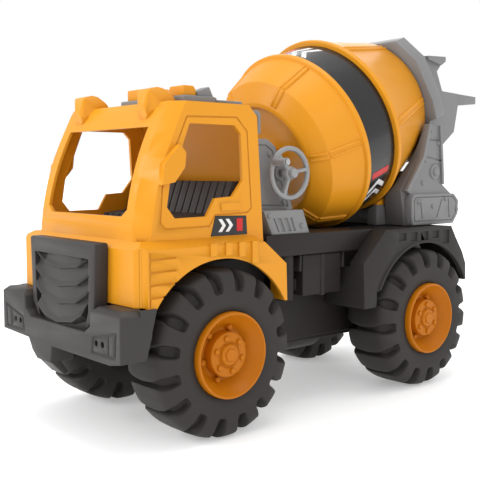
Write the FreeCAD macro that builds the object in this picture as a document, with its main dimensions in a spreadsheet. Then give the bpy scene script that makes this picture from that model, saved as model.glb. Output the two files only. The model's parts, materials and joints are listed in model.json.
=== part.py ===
import FreeCAD, Part
import math
import os
import re

import Sketcher

# Toy cement mixer.  +Z is up, -Y is the driving direction, +X is the truck's left-hand side.
# Every outline is drawn with y measured from the front axle; each sub-part's Placement then
# moves it by front_axle_y, so that the model's origin lies under the middle of the truck.

V = FreeCAD.Vector
doc = FreeCAD.newDocument("toy_cement_mixer")

SIZES = [
    # whole truck
    ("front_axle_y", -116.0),
    ("wheelbase", 205.5),
    ("wheel_radius", 55.0),
    # wheels
    ("tyre_inner_x", 38.8),
    ("tyre_outer_x", 81.5),
    ("tyre_shoulder_radius", 51.0),
    ("rim_radius", 28.0),
    ("rim_face_x", 84.2),
    ("hub_face_x", 79.3),
    ("hub_radius", 14.6),
    ("hub_boss_radius", 8.0),
    ("hub_bolt_circle", 10.9),
    ("hub_bolts", 6),
    ("lugs", 16),
    ("lug_slot_share", 0.43),
    ("axle_radius", 2.5),
    ("axle_play", 0.08),
    ("bush_radius", 5.0),
    # chassis and deck
    ("spine_half", 34.0),
    ("deck_half", 62.0),
    ("deck_top", 127.5),
    ("deck_under", 112.0),
    ("deck_front", 48.0),
    ("deck_rear", 262.0),
    ("mould_wall", 2.5),
    ("screw_head_radius", 2.8),
    # cab
    ("cab_half", 67.0),
    ("sill_half", 76.0),
    ("sill_top", 125.0),
    ("roof_z", 215.0),
    ("arch_radius", 61.5),
    ("arch_y", -2.0),
    ("bumper_half", 78.0),
    # rear fenders
    ("fender_half", 76.0),
    ("fender_arch", 60.0),
    # drum: a point on its axis, its slope and its stations along the axis
    ("drum_y", 139.4),
    ("drum_z", 194.6),
    ("drum_tilt", 21.58),
    ("rim_station", -39.2),
    ("belt_width", 33.1),
    ("belt_radius", 69.9),
    ("drum_end", 97.3),
    ("neck_radius", 46.0),
    ("neck_play", 0.1),
    ("drum_wall", 2.4),
    # drum drive
    ("crank_station", -66.0),
    ("pinion_pitch", 7.0),
    ("gear_pitch", 14.0),
    ("pinion_teeth", 12),
    ("gear_teeth", 24),
    ("tooth_tip", 0.9),
    ("tooth_root", 1.4),
    ("shaft_radius", 2.5),
    ("spindle_radius", 5.0),
    ("wheel_x", 53.0),
    ("hand_wheel_radius", 17.6),
    ("hand_wheel_tube", 1.9),
    ("knob_forward", 0.90),
    ("knob_upward", 0.44),
    ("tower_half", 43.0),
    # rear frame
    ("side_plate_x", 60.0),
    ("side_plate_wall", 4.0),
    ("hopper_half", 49.0),
]

sheet = doc.addObject("Spreadsheet::Sheet", "Sizes")
for row, (alias, size) in enumerate(SIZES, start=1):
    sheet.set(f"A{row}", alias)
    sheet.set(f"B{row}", str(size))
    sheet.setAlias(f"B{row}", alias)
doc.recompute()

ALIASES = re.compile(r"\b(" + "|".join(alias for alias, _ in SIZES) + r")\b")
AXES = {"x": V(1, 0, 0), "y": V(0, 1, 0), "z": V(0, 0, 1)}
TURNS = {
    "x": FreeCAD.Rotation(V(0, 1, 0), 90),
    "y": FreeCAD.Rotation(V(1, 0, 0), -90),
    "z": FreeCAD.Rotation(),
}
SKETCH_TURNS = {
    "x": FreeCAD.Rotation(V(0, 1, 0), V(0, 0, 1), V(1, 0, 0), "ZXY"),
    "y": FreeCAD.Rotation(V(1, 0, 0), V(0, 0, 1), V(0, -1, 0), "ZXY"),
    "z": FreeCAD.Rotation(),
}
PLANES = {"x": "YZ_Plane", "y": "XZ_Plane", "z": "XY_Plane"}
SCREW_SPOTS = [("27", "20"), ("-27", "20"), ("27", "186"), ("-27", "186")]
sub_parts = []


# ---------------------------------------------------------------- drawing helpers
def named(text):
    """The text with each alias spelled as a reference to the sheet."""
    return ALIASES.sub(r"Sizes.\1", str(text))


def number(text):
    """The value of an expression on the sheet."""
    return float(sheet.evalExpression(named(text)))


def bind(thing, prop, text):
    """Tie a property to an expression on the sheet."""
    thing.setExpression(prop, named(text))


def place(thing, spot, turn=None):
    """Tie a Placement's base to three expressions, with a fixed turn."""
    thing.Placement = FreeCAD.Placement(V(*[number(c) for c in spot]), turn or FreeCAD.Rotation())
    for axis, text in zip("xyz", spot):
        bind(thing, f"Placement.Base.{axis}", text)


def draw(sketch, corners):
    """Closed outline through the corners; a third entry "via" makes an arc through that point."""
    points = [V(number(c[0]), number(c[1]), 0) for c in corners]
    knots = [i for i, c in enumerate(corners) if len(c) == 2]
    joints = []
    for here, there in zip(knots, knots[1:] + knots[:1]):
        start, end = points[here], points[there]
        if (here + 1) % len(corners) == there:
            edge = sketch.addGeometry(Part.LineSegment(start, end))
            joints.append((edge, 1, 2))
            continue
        via = points[(here + 1) % len(corners)]
        circle = Part.Arc(start, via, end).toShape().Curve
        forward = (via - start).cross(end - via).z > 0
        first, last = (start, end) if forward else (end, start)
        angles = [math.atan2(p.y - circle.Center.y, p.x - circle.Center.x) for p in (first, last)]
        if angles[1] < angles[0]:
            angles[1] += 2 * math.pi
        upright = Part.Circle(circle.Center, V(0, 0, 1), circle.Radius)
        edge = sketch.addGeometry(Part.ArcOfCircle(upright, *angles))
        joints.append((edge, 1, 2) if forward else (edge, 2, 1))
        sketch.addConstraint(Sketcher.Constraint("Radius", edge, circle.Radius))
    for k, corner in enumerate(knots):
        edge, first, _ = joints[k]
        last_edge, _, last = joints[k - 1]
        sketch.addConstraint(Sketcher.Constraint("Coincident", last_edge, last, edge, first))
        for kind, text in zip(("DistanceX", "DistanceY"), corners[corner]):
            value = number(text)
            index = sketch.addConstraint(Sketcher.Constraint(kind, -1, 1, edge, first, value))
            if not isinstance(text, (int, float)):
                bind(sketch, f"Constraints[{index}]", text)
    return sketch


def prism(name, axis, corners, low, high):
    """Outline drawn square to an axis and pushed along it from low to high."""
    sketch = doc.addObject("Sketcher::SketchObject", name + "_outline")
    spot = ["0", "0", "0"]
    spot["xyz".index(axis)] = str(low)
    place(sketch, spot, SKETCH_TURNS[axis])
    draw(sketch, corners)
    solid = doc.addObject("Part::Extrusion", name)
    solid.Base = sketch
    solid.DirMode = "Custom"
    solid.Dir = AXES[axis]
    solid.Solid = True
    bind(solid, "LengthFwd", f"({high}) - ({low})")
    return solid


def box(name, x_span, y_span, z_span):
    solid = doc.addObject("Part::Box", name)
    place(solid, (x_span[0], y_span[0], z_span[0]))
    for prop, (low, high) in zip(("Length", "Width", "Height"), (x_span, y_span, z_span)):
        bind(solid, prop, f"({high}) - ({low})")
    return solid


def rod(name, axis, centre, low, high, radius):
    """Cylinder along an axis; centre is its place in the other two directions."""
    solid = doc.addObject("Part::Cylinder", name)
    spot = list(centre)
    spot.insert("xyz".index(axis), low)
    place(solid, spot, TURNS[axis])
    bind(solid, "Radius", radius)
    bind(solid, "Height", f"({high}) - ({low})")
    return solid


def cut(name, base, *tools):
    tool = tools[0] if len(tools) == 1 else fuse(name + "_tools", *tools)
    result = doc.addObject("Part::Cut", name)
    result.Base = base
    result.Tool = tool
    return result


def fuse(name, *pieces):
    result = doc.addObject("Part::MultiFuse", name)
    result.Shapes = list(pieces)
    return result


def common(name, *pieces):
    result = doc.addObject("Part::MultiCommon", name)
    result.Shapes = list(pieces)
    return result


def mirrored(name, source):
    """The same piece on the other side of the truck."""
    result = doc.addObject("Part::Mirroring", name)
    result.Source = source
    result.Base = V(0, 0, 0)
    result.Normal = V(1, 0, 0)
    return result


def sub_part(label, *pieces):
    """Names a finished piece and moves it from the axle's y to the model's."""
    whole = doc.addObject("Part::Compound", label)
    whole.Links = list(pieces)
    whole.Label = label
    place(whole, ("0", "front_axle_y", "0"))
    sub_parts.append(whole)
    return whole


def pair(label, piece):
    """Left and right sub-parts, from the left-hand piece."""
    sub_part("left_" + label, piece)
    sub_part("right_" + label, mirrored("right_" + label + "_body", piece))


# ---------------------------------------------------------------- turned pieces
def new_body(label):
    body = doc.addObject("PartDesign::Body", label)
    body.Label = label
    return body


def origin_part(body, role):
    return next(f for f in body.Origin.OriginFeatures if f.Role == role)


def body_sketch(body, name, axis, corners, lift="0"):
    sketch = body.newObject("Sketcher::SketchObject", name)
    sketch.AttachmentSupport = [(origin_part(body, PLANES[axis]), "")]
    sketch.MapMode = "FlatFace"
    bind(sketch, "AttachmentOffset.Base.z", lift)
    return draw(sketch, corners)


def body_circle(body, name, axis, centre, radius, lift="0"):
    """Sketch of one circle on an origin plane of the body."""
    sketch = body.newObject("Sketcher::SketchObject", name)
    sketch.AttachmentSupport = [(origin_part(body, PLANES[axis]), "")]
    sketch.MapMode = "FlatFace"
    bind(sketch, "AttachmentOffset.Base.z", lift)
    spot = V(number(centre[0]), number(centre[1]), 0)
    circle = sketch.addGeometry(Part.Circle(spot, V(0, 0, 1), number(radius)))
    for kind, text, value in (("DistanceX", centre[0], spot.x), ("DistanceY", centre[1], spot.y)):
        index = sketch.addConstraint(Sketcher.Constraint(kind, -1, 1, circle, 3, value))
        bind(sketch, f"Constraints[{index}]", text)
    index = sketch.addConstraint(Sketcher.Constraint("Radius", circle, number(radius)))
    bind(sketch, f"Constraints[{index}]", radius)
    return sketch


def turned(body, name, corners, kind="PartDesign::Revolution", angle="360", start=0.0):
    """Turns an outline of (radius, station) corners about the body's own Z axis."""
    sketch = body_sketch(body, name + "_outline", "y", corners)
    feature = body.newObject(kind, name)
    feature.Profile = sketch
    feature.ReferenceAxis = (sketch, ["V_Axis"])
    bind(feature, "Angle", angle)
    feature.Midplane = True
    if start:
        sketch.AttachmentOffset = FreeCAD.Placement(V(), FreeCAD.Rotation(V(0, 1, 0), start))
    return feature


def padded(body, name, axis, corners, length, lift="0", midplane=False, kind="PartDesign::Pad"):
    feature = body.newObject(kind, name)
    feature.Profile = body_sketch(body, name + "_outline", axis, corners, lift)
    bind(feature, "Length", length)
    feature.Midplane = midplane
    return feature


def around(body, name, feature, count):
    """Repeats a feature round the body's Z axis."""
    pattern = body.newObject("PartDesign::PolarPattern", name)
    pattern.Originals = [feature]
    pattern.Axis = (origin_part(body, "Z_Axis"), [""])
    bind(pattern, "Occurrences", count)
    body.Tip = pattern
    return pattern


def set_down(body, spot, turn):
    """Places a turned body and lists it as a finished sub-part."""
    place(body, spot, turn)
    sub_parts.append(body)


WHEEL_TURNS = {"left": FreeCAD.Rotation(V(0, 1, 0), 90), "right": FreeCAD.Rotation(V(0, 1, 0), -90)}
AXLE_SPOTS = {"front": "front_axle_y", "rear": "front_axle_y + wheelbase"}


def make_tyre(label, spot, turn):
    body = new_body(label)
    middle = "(tyre_inner_x + tyre_outer_x) / 2"
    turned(body, "carcass", [
        ("rim_radius", "tyre_inner_x + 1.6"),
        ("rim_radius", "tyre_outer_x - 1.2"),
        ("rim_radius + 8", "tyre_outer_x - 0.4"),
        ("rim_radius + 14", "tyre_outer_x"),
        ("tyre_shoulder_radius", "tyre_outer_x - 3.2"),
        ("wheel_radius - 0.6", "tyre_outer_x - 8.6"),
        ("wheel_radius", f"{middle} + 6"),
        ("wheel_radius", f"{middle} - 6"),
        ("wheel_radius - 0.6", "tyre_inner_x + 8.6"),
        ("tyre_shoulder_radius", "tyre_inner_x + 3.2"),
        ("rim_radius + 14", "tyre_inner_x"),
        ("rim_radius + 8", "tyre_inner_x + 0.4"),
    ])
    turned(body, "air_space", [
        ("rim_radius - 1", "tyre_inner_x + 8"), ("rim_radius + 12", "tyre_inner_x + 9"),
        ("rim_radius + 12", "tyre_outer_x - 9"), ("rim_radius - 1", "tyre_outer_x - 8"),
    ], "PartDesign::Groove")
    half_pitch = 180.0 / number("lugs")
    slot_angle = "360 / lugs * lug_slot_share"
    outer = turned(body, "outer_slot", [
        ("wheel_radius + 2", f"{middle} + 1.5"),
        ("wheel_radius - 5.5", f"{middle} + 3.5"),
        ("wheel_radius - 6.5", "tyre_outer_x - 8"),
        ("rim_radius + 13.5", "tyre_outer_x - 3"),
        ("rim_radius + 13.5", "tyre_outer_x + 3"),
        ("wheel_radius + 2", "tyre_outer_x + 3"),
    ], "PartDesign::Groove", slot_angle)
    around(body, "outer_slots", outer, "lugs")
    inner = turned(body, "inner_slot", [
        ("wheel_radius + 2", f"{middle} - 1.5"),
        ("wheel_radius - 5.5", f"{middle} - 3.5"),
        ("wheel_radius - 6.5", "tyre_inner_x + 8"),
        ("rim_radius + 13.5", "tyre_inner_x + 3"),
        ("rim_radius + 13.5", "tyre_inner_x - 3"),
        ("wheel_radius + 2", "tyre_inner_x - 3"),
    ], "PartDesign::Groove", slot_angle, half_pitch)
    around(body, "inner_slots", inner, "lugs")
    set_down(body, spot, turn)


def make_rim(label, spot, turn):
    body = new_body(label)
    turned(body, "dish", [
        ("axle_radius", "tyre_inner_x - 0.3"),
        ("hub_boss_radius", "tyre_inner_x - 0.3"),
        ("hub_boss_radius", "hub_face_x - 2.5"),
        ("hub_radius - 2.2", "hub_face_x - 2.5"),
        ("hub_radius - 2.2", "69.3"),
        ("hub_radius + 3.6", "69.3"),
        ("rim_radius - 2.6", "78"),
        ("rim_radius - 2.6", "tyre_inner_x + 2.2"),
        ("rim_radius", "tyre_inner_x + 2.2"),
        ("rim_radius", "tyre_outer_x - 1.2"),
        ("rim_radius - 0.4", "rim_face_x - 0.6"),
        ("rim_radius - 0.9", "rim_face_x"),
        ("rim_radius - 1.8", "rim_face_x"),
        ("rim_radius - 2.4", "rim_face_x - 0.7"),
        ("hub_radius + 3", "71.5"),
        ("hub_radius", "71.5"),
        ("hub_radius", "hub_face_x - 0.6"),
        ("hub_radius - 0.6", "hub_face_x"),
        ("7.6", "hub_face_x"),
        ("7", "hub_face_x + 1.7"),
        ("0", "hub_face_x + 1.7"),
        ("0", "hub_face_x - 0.5"),
        ("axle_radius", "hub_face_x - 0.5"),
    ])
    bolt = body.newObject("PartDesign::Pad", "bolt")
    ring = body_circle(body, "bolt_outline", "z", ("hub_bolt_circle", "0"), "1.9",
                       "hub_face_x - 0.5")
    bolt.Profile = ring
    bind(bolt, "Length", "2.2")
    around(body, "bolts", bolt, "hub_bolts")
    set_down(body, spot, turn)


def make_wheels():
    for end, axle_y in AXLE_SPOTS.items():
        for side, turn in WHEEL_TURNS.items():
            spot = ("0", axle_y, "wheel_radius")
            make_tyre(f"{end}_{side}_tyre", spot, turn)
            make_rim(f"{end}_{side}_rim", spot, turn)


def make_axles():
    for end, axle_y in (("front", "0"), ("rear", "wheelbase")):
        centre = (axle_y, "wheel_radius")
        sub_part(f"{end}_axle", rod(f"{end}_rod", "x", centre, "-hub_face_x + 0.8",
                                       "hub_face_x - 0.8", "axle_radius"))
        bushes = []
        for side, (low, high) in (("left", ("spine_half - 3.5", "spine_half + 4")),
                                  ("right", ("-spine_half - 4", "-spine_half + 3.5"))):
            name = f"{end}_{side}_bush"
            flange_low = "spine_half" if side == "left" else "-spine_half - 4"
            sleeve = rod(name + "_sleeve", "x", centre, low, high, "bush_radius")
            flange = rod(name + "_flange", "x", centre, flange_low, f"{flange_low} + 4",
                         "bush_radius + 2")
            bore = rod(name + "_bore", "x", centre, f"{low} - 1", f"{high} + 1",
                       "axle_radius + axle_play")
            bushes.append(cut(name, fuse(name + "_solid", sleeve, flange), bore))
        sub_part(f"{end}_axle_bushes", *bushes)


# ---------------------------------------------------------------- chassis
def make_chassis():
    outer = prism("spine", "x", [
        ("-60", "60"), ("-60", "92"), ("-42", "110"), ("deck_front + 4", "110"),
        ("deck_front + 4", "deck_under + 2"), ("deck_rear", "deck_under + 2"),
        ("deck_rear", "80"), ("wheelbase + 28", "44"), ("-20", "44"),
    ], "-spine_half", "spine_half")
    inner = prism("spine_hollow", "x", [
        ("-57", "40"), ("-57", "91"), ("-41", "107"), ("deck_rear - 3", "107"),
        ("deck_rear - 3", "40"),
    ], "-spine_half + mould_wall", "spine_half - mould_wall")
    deck = fuse("deck",
                box("front_deck", ("-deck_half", "deck_half"), ("deck_front", "158"),
                    ("deck_under", "deck_top")),
                box("rear_deck", ("-36", "36"), ("150", "deck_rear"), ("deck_under", "deck_top")))
    well = box("drum_well", ("-33", "33"), ("126", "212"), ("116", "deck_top + 1"))
    under = []
    for k, (low, high) in enumerate((("-deck_half + 2.5", "-spine_half"),
                                     ("spine_half", "deck_half - 2.5"))):
        under.append(box(f"deck_hollow_{k}", (low, high), ("deck_front + 2.5", "155.5"),
                         ("deck_under - 1", "deck_top - 3")))
    bores = [rod(f"bush_bore_{k}", "x", (y, "wheel_radius"), "-spine_half - 1", "spine_half + 1",
                 "bush_radius") for k, y in enumerate(("0", "wheelbase"))]
    ribs = [box(f"deck_rib_{side}_{k}", (low, high), (f"{y} - 1.2", f"{y} + 1.2"),
                ("100", "deck_under + 1"))
            for k, y in enumerate((82, 127))
            for side, low, high in (("left", "spine_half", "deck_half - 1"),
                                    ("right", "-deck_half + 1", "-spine_half"))]
    bosses = [rod(f"screw_boss_{k}", "z", (x, y), "44", "62", "4.6")
              for k, (x, y) in enumerate(SCREW_SPOTS)]
    pilots = [rod(f"screw_pilot_{k}", "z", (x, y), "43", "60", "1.45")
              for k, (x, y) in enumerate(SCREW_SPOTS)]
    shell = cut("chassis_shell", fuse("chassis_solid", outer, deck, *ribs), inner, well, *under,
                *bores)
    sub_part("chassis", cut("chassis_body", fuse("chassis_and_bosses", shell, *bosses), *pilots))


def make_belly_cover():
    """Lower cover of the spine, with the half-round gear housing bulge between the axles."""
    half = "spine_half - mould_wall - 0.2"
    plate = box("belly_plate", (f"-({half})", half), ("14", "wheelbase - 14"), ("41", "44"))
    bulge = common("belly_bulge",
                   rod("belly_round", "y", ("0", "52"), "62", "146", "24"),
                   box("belly_limit", ("-30", "30"), ("62", "146"), ("28", "42")))
    holes = [rod(f"belly_hole_{k}", "z", (x, y), "42", "45", "1.45")
             for k, (x, y) in enumerate(SCREW_SPOTS)]
    seats = [rod(f"belly_seat_{k}", "z", (x, y), "40", "42.7", "screw_head_radius + 0.2")
             for k, (x, y) in enumerate(SCREW_SPOTS)]
    sub_part("belly_cover", cut("belly_body", fuse("belly_solid", plate, bulge), *holes, *seats))


def make_side_tanks():
    body = fuse("tank_body",
                box("tank_box", ("spine_half", "deck_half - 2"), ("85", "125"), ("82", "deck_under")),
                rod("tank_round", "z", ("deck_half - 9", "73.5"), "80", "deck_under", "6.5"),
                box("tank_web", ("spine_half", "deck_half - 9"), ("71", "76"), ("86", "deck_under")),
                box("tank_link", ("deck_half - 16", "deck_half - 9"), ("74", "86"), ("86", "94")),
                box("tank_strap", ("spine_half", "deck_half - 0.8"), ("103", "107"),
                    ("81", "deck_under")))
    ribs = [box(f"clear_rib_{k}", ("spine_half - 1", "deck_half + 1"), (f"{y} - 1.4", f"{y} + 1.4"),
                ("99", "deck_under + 1")) for k, y in enumerate((82, 127))]
    pair("side_tank", cut("tank", body, *ribs))


def make_rear_fenders():
    outline = [
        ("134", "69"), ("132.6", "103"), ("158", "127"), ("241", "127"), ("247", "118"),
        ("257", "104.5"), ("262", "94.6"), ("263", "69"),
    ]
    hollow = [
        ("136.6", "60"), ("135.3", "102"), ("159", "124.5"), ("239.6", "124.5"), ("244.8", "116.6"),
        ("254.8", "103"), ("259.4", "93.8"), ("260.4", "60"),
    ]
    outer = prism("fender_outer", "x", outline, "36", "fender_half")
    inner = prism("fender_inner", "x", hollow, "35", "fender_half - mould_wall")
    arch = rod("fender_arch_cut", "x", ("wheelbase", "wheel_radius"), "35", "fender_half + 1",
               "fender_arch")
    low = box("fender_foot_cut", ("35", "fender_half + 1"), ("148", "270"), ("60", "81"))
    deck_gap = box("fender_deck_gap", ("35", "deck_half"), ("130", "158"), ("100", "128"))
    slots = [box(f"fender_slot_{k}", ("fender_half - 1.4", "fender_half + 1"), (y, f"{y} + 9"),
                 (f"{z}", "124"))
             for k, (y, z) in enumerate(((173, 118), (187, 117), (201, 117), (215, 118),
                                         (229, 113)))]
    lip_ring = cut("fender_lip",
                   rod("lip_outer", "x", ("wheelbase", "wheel_radius"), "fender_half",
                       "fender_half + 1.2", "fender_arch + 2"),
                   rod("lip_inner", "x", ("wheelbase", "wheel_radius"), "fender_half - 1",
                       "fender_half + 2", "fender_arch"),
                   box("lip_limit", ("fender_half - 1", "fender_half + 2"), ("130", "280"),
                       ("-10", "82")))
    shell = cut("fender_shell", outer, inner, arch, low, deck_gap, *slots)
    pair("rear_fender", fuse("fender", shell, lip_ring))


# ---------------------------------------------------------------- cab
FRONT_CURVE = [("-59.2", "129"), ("-53.1", "165", "via"), ("-39.3", "200")]
PILLAR_LINE = [(-59.2, 120), (-59.2, 129), (-57.4, 145), (-53.1, 165), (-48.5, 180), (-39.3, 200),
               (-31, 217)]


def pillar_wedges(name, half, setback, width):
    """Wedges that take the corners off between the sides and the curved windscreen frame."""
    wedges = []
    for side, sign in (("left", 1), ("right", -1)):
        sections = []
        for y, z in PILLAR_LINE:
            front = y + setback
            points = [V(sign * (half + 3), front - 9, z), V(sign * (half - width - 6), front - 9, z),
                      V(sign * (half - width - 6), front - 6, z),
                      V(sign * (half + 3), front + width + 3, z)]
            sections.append(Part.makePolygon((points + points[:1])[::sign]))
        wedge = doc.addObject("Part::Feature", f"{name}_{side}")
        wedge.Shape = Part.makeLoft(sections, True, True)
        wedges.append(wedge)
    return wedges


def make_upper_cab():
    outer = prism("cab_outer", "x", FRONT_CURVE + [
        ("-34", "roof_z - 4"), ("-31", "roof_z"), ("27", "roof_z"), ("34.4", "207.9"),
        ("37.7", "161.6"), ("40.4", "122"), ("-60", "122"),
    ], "-cab_half", "cab_half")
    inner = prism("cab_inner", "x", [
        ("-56.8", "128"), ("-50.7", "165", "via"), ("-37.1", "199.4"), ("-30.6", "roof_z - 3"),
        ("26", "roof_z - 3"), ("31.9", "206.8"), ("35.2", "161.4"), ("38", "121"), ("-57", "121"),
    ], "-cab_half + mould_wall", "cab_half - mould_wall")
    windscreen = prism("windscreen", "y", [
        ("-44.5", "143.7"), ("44.5", "143.7"), ("50.4", "148.2"), ("49", "199.1"), ("-49", "199.1"),
        ("-50.4", "148.2"),
    ], "-70", "-20")
    window = prism("side_windows", "x", [
        ("-21.2", "201.2"), ("15.1", "201.2"), ("20.2", "196"), ("21.9", "165.9"),
        ("13.3", "155.3"), ("-1.3", "154.4"), ("-8.2", "143"), ("-33", "142.6"),
        ("-38.8", "149.7"), ("-36.3", "165"), ("-29.9", "179.5"),
    ], "-cab_half - 1", "cab_half + 1")
    half = number("cab_half")
    wall = number("mould_wall")
    chamfer = 8.5
    solid = cut("cab_upper_solid", outer, *pillar_wedges("outer_wedge", half, 0, chamfer))
    hollow = cut("cab_upper_hollow", inner,
                 *pillar_wedges("inner_wedge", half - wall, wall, chamfer - 0.59 * wall))
    return cut("cab_upper_shell", solid, hollow, windscreen, window)


def lamp_blister(name, x):
    """Faceted roof lamp: what three outlines, seen from three sides, have in common."""
    side_view = prism(f"{name}_lamp_side", "x", [
        ("-37.4", "204"), ("-39.4", "212"), ("-39.2", "219"), ("-36.4", "223"), ("-30", "224.6"),
        ("-26", "224"), ("-17", "roof_z"), ("-17", "roof_z - 4"), ("-30", "204"),
    ], f"{x} - 11", f"{x} + 11")
    front_view = prism(f"{name}_lamp_front", "y", [
        (f"{x} - 3", "204"), (f"{x} - 9.4", "212"), (f"{x} - 10", "216"), (f"{x} - 8.6", "220.5"),
        (f"{x} - 4.5", "225"), (f"{x} + 4.5", "225"), (f"{x} + 8.6", "220.5"), (f"{x} + 10", "216"),
        (f"{x} + 9.4", "212"), (f"{x} + 3", "204"),
    ], "-42", "-10")
    plan = prism(f"{name}_lamp_plan", "z", [
        (f"{x} - 7", "-16"), (f"{x} - 10", "-22"), (f"{x} - 10", "-31"), (f"{x} - 7", "-37"),
        (f"{x} - 2.5", "-39.6"), (f"{x} + 2.5", "-39.6"), (f"{x} + 7", "-37"), (f"{x} + 10", "-31"),
        (f"{x} + 10", "-22"), (f"{x} + 7", "-16"),
    ], "200", "230")
    return common(f"{name}_lamp", side_view, front_view, plan)


def make_cab():
    upper = make_upper_cab()
    side = prism("sill_side", "x", [
        ("-65.4", "90.7"), ("-65.4", "sill_top"), ("-59.2", "129.5"), ("29", "129.5"),
        ("34", "sill_top"), ("53.4", "109.5"), ("54.3", "84.3"), ("-58", "84.3"), ("-60", "90.7"),
    ], "-sill_half - 1", "sill_half + 1")
    front = prism("sill_front", "y", [
        ("-sill_half", "80"), ("-sill_half", "sill_top"), ("-cab_half - 1", "129.5"),
        ("cab_half + 1", "129.5"), ("sill_half", "sill_top"), ("sill_half", "80"),
    ], "-70", "60")
    plan = prism("sill_plan", "z", [
        ("-sill_half", "60"), ("-sill_half", "-59.3"), ("-sill_half + 6.1", "-65.4"),
        ("sill_half - 6.1", "-65.4"), ("sill_half", "-59.3"), ("sill_half", "60"),
    ], "70", "140")
    hollow = box("sill_hollow", ("-sill_half + 2.6", "sill_half - 2.6"), ("-62.8", "27"),
                 ("80", "125.5"))
    rear_hollow = prism("sill_rear_hollow", "x", [
        ("20", "80"), ("20", "122"), ("32", "122"), ("50.6", "108"), ("51.5", "80"),
    ], "-sill_half + 2.6", "sill_half - 2.6")
    chassis_gap = box("sill_chassis_gap", ("-deck_half - 0.5", "deck_half + 0.5"), ("30", "60"),
                      ("80", "deck_top + 0.3"))
    opening = box("sill_top_opening", ("-cab_half + 2.6", "cab_half - 2.6"), ("-56.5", "37"),
                  ("125", "131"))
    arch = rod("cab_arch", "x", ("arch_y", "wheel_radius"), "-sill_half - 2", "sill_half + 2",
               "arch_radius")
    lower = common("sill_solid", side, front, plan)
    body = cut("cab_body", fuse("cab_solid", upper, cut("sill_shell", lower, hollow, rear_hollow)),
               opening, arch, chassis_gap)
    ribs = []
    for k, (y, foot) in enumerate((("-10.5", "118.5"), ("1.8", "118.5"), ("12.8", "117"),
                                   ("24", "112"))):
        for side_name, low, high in (("left", "sill_half - 0.5", "sill_half + 1.6"),
                                     ("right", "-sill_half - 1.6", "-sill_half + 0.5")):
            ribs.append(box(f"sill_rib_{side_name}_{k}", (low, high), (f"{y} - 2.6", f"{y} + 2.6"),
                            (foot, "126.5")))
    lamp_solids = [lamp_blister(name, x) for name, x in (("left", "40"), ("right", "-40"))]
    lamp_cut = prism("lamp_inside", "x", [
        ("-37", "199.4"), ("-30.6", "roof_z - 3"), ("0", "roof_z - 3"), ("0", "150"),
        ("-37", "150"),
    ], "-60", "60")
    mirrors = []
    for name, low, high in (("left", "cab_half - 0.5", "cab_half + 5"),
                            ("right", "-cab_half - 5", "-cab_half + 0.5")):
        mirrors.append(prism(f"{name}_mirror", "x", [
            ("-32", "188"), ("-27.5", "183"), ("-28.5", "174"), ("-36", "165"), ("-45", "163.3"),
            ("-43.5", "176"),
        ], low, high))
    handles = [box(f"{name}_door_handle", (low, high), ("3.3", "19.9"), ("146.2", "151.3"))
               for name, low, high in (("left", "cab_half - 0.5", "cab_half + 1"),
                                       ("right", "-cab_half - 1", "-cab_half + 0.5"))]
    sub_part("cab_shell", fuse("cab_trimmed", body, *ribs, *mirrors, *handles,
                               cut("lamp_shells", fuse("lamp_pair", *lamp_solids), lamp_cut)))


def make_cab_inside():
    """Floor, with the dash and the bench that stand on it."""
    floor = prism("cab_floor_plate", "z", [
        ("-cab_half + 3.4", "33"), ("-cab_half + 3.4", "-47"), ("-54", "-55.4"), ("54", "-55.4"),
        ("cab_half - 3.4", "-47"), ("cab_half - 3.4", "33"),
    ], "118", "121")
    dash = prism("dash_block", "x", [
        ("-54.5", "121"), ("-54.5", "134"), ("-40", "138"), ("-34", "132"), ("-40", "121"),
    ], "-53", "53")
    sub_part("cab_floor", floor)
    sub_part("dash", dash)
    bench = prism("bench", "x", [
        ("-8", "121"), ("-8", "141"), ("12", "143"), ("20", "165"), ("26.6", "165"), ("26.6", "121"),
    ], "-58", "58")
    grooves = [box(f"bench_groove_{k}", (f"{-52 + 8 * k} - 0.7", f"{-52 + 8 * k} + 0.7"),
                   ("-9", "24"), ("139.5", "170")) for k in range(14)]
    keep = prism("bench_core", "x", [
        ("-9", "121"), ("-9", "139.4"), ("13.6", "141.4"), ("21.6", "163.4"), ("28", "163.4"),
        ("30", "121"),
    ], "-59", "59")
    sub_part("seat_bench", cut("bench_body", bench, cut("bench_grooves",
                                                        fuse("groove_set", *grooves), keep)))


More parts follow.
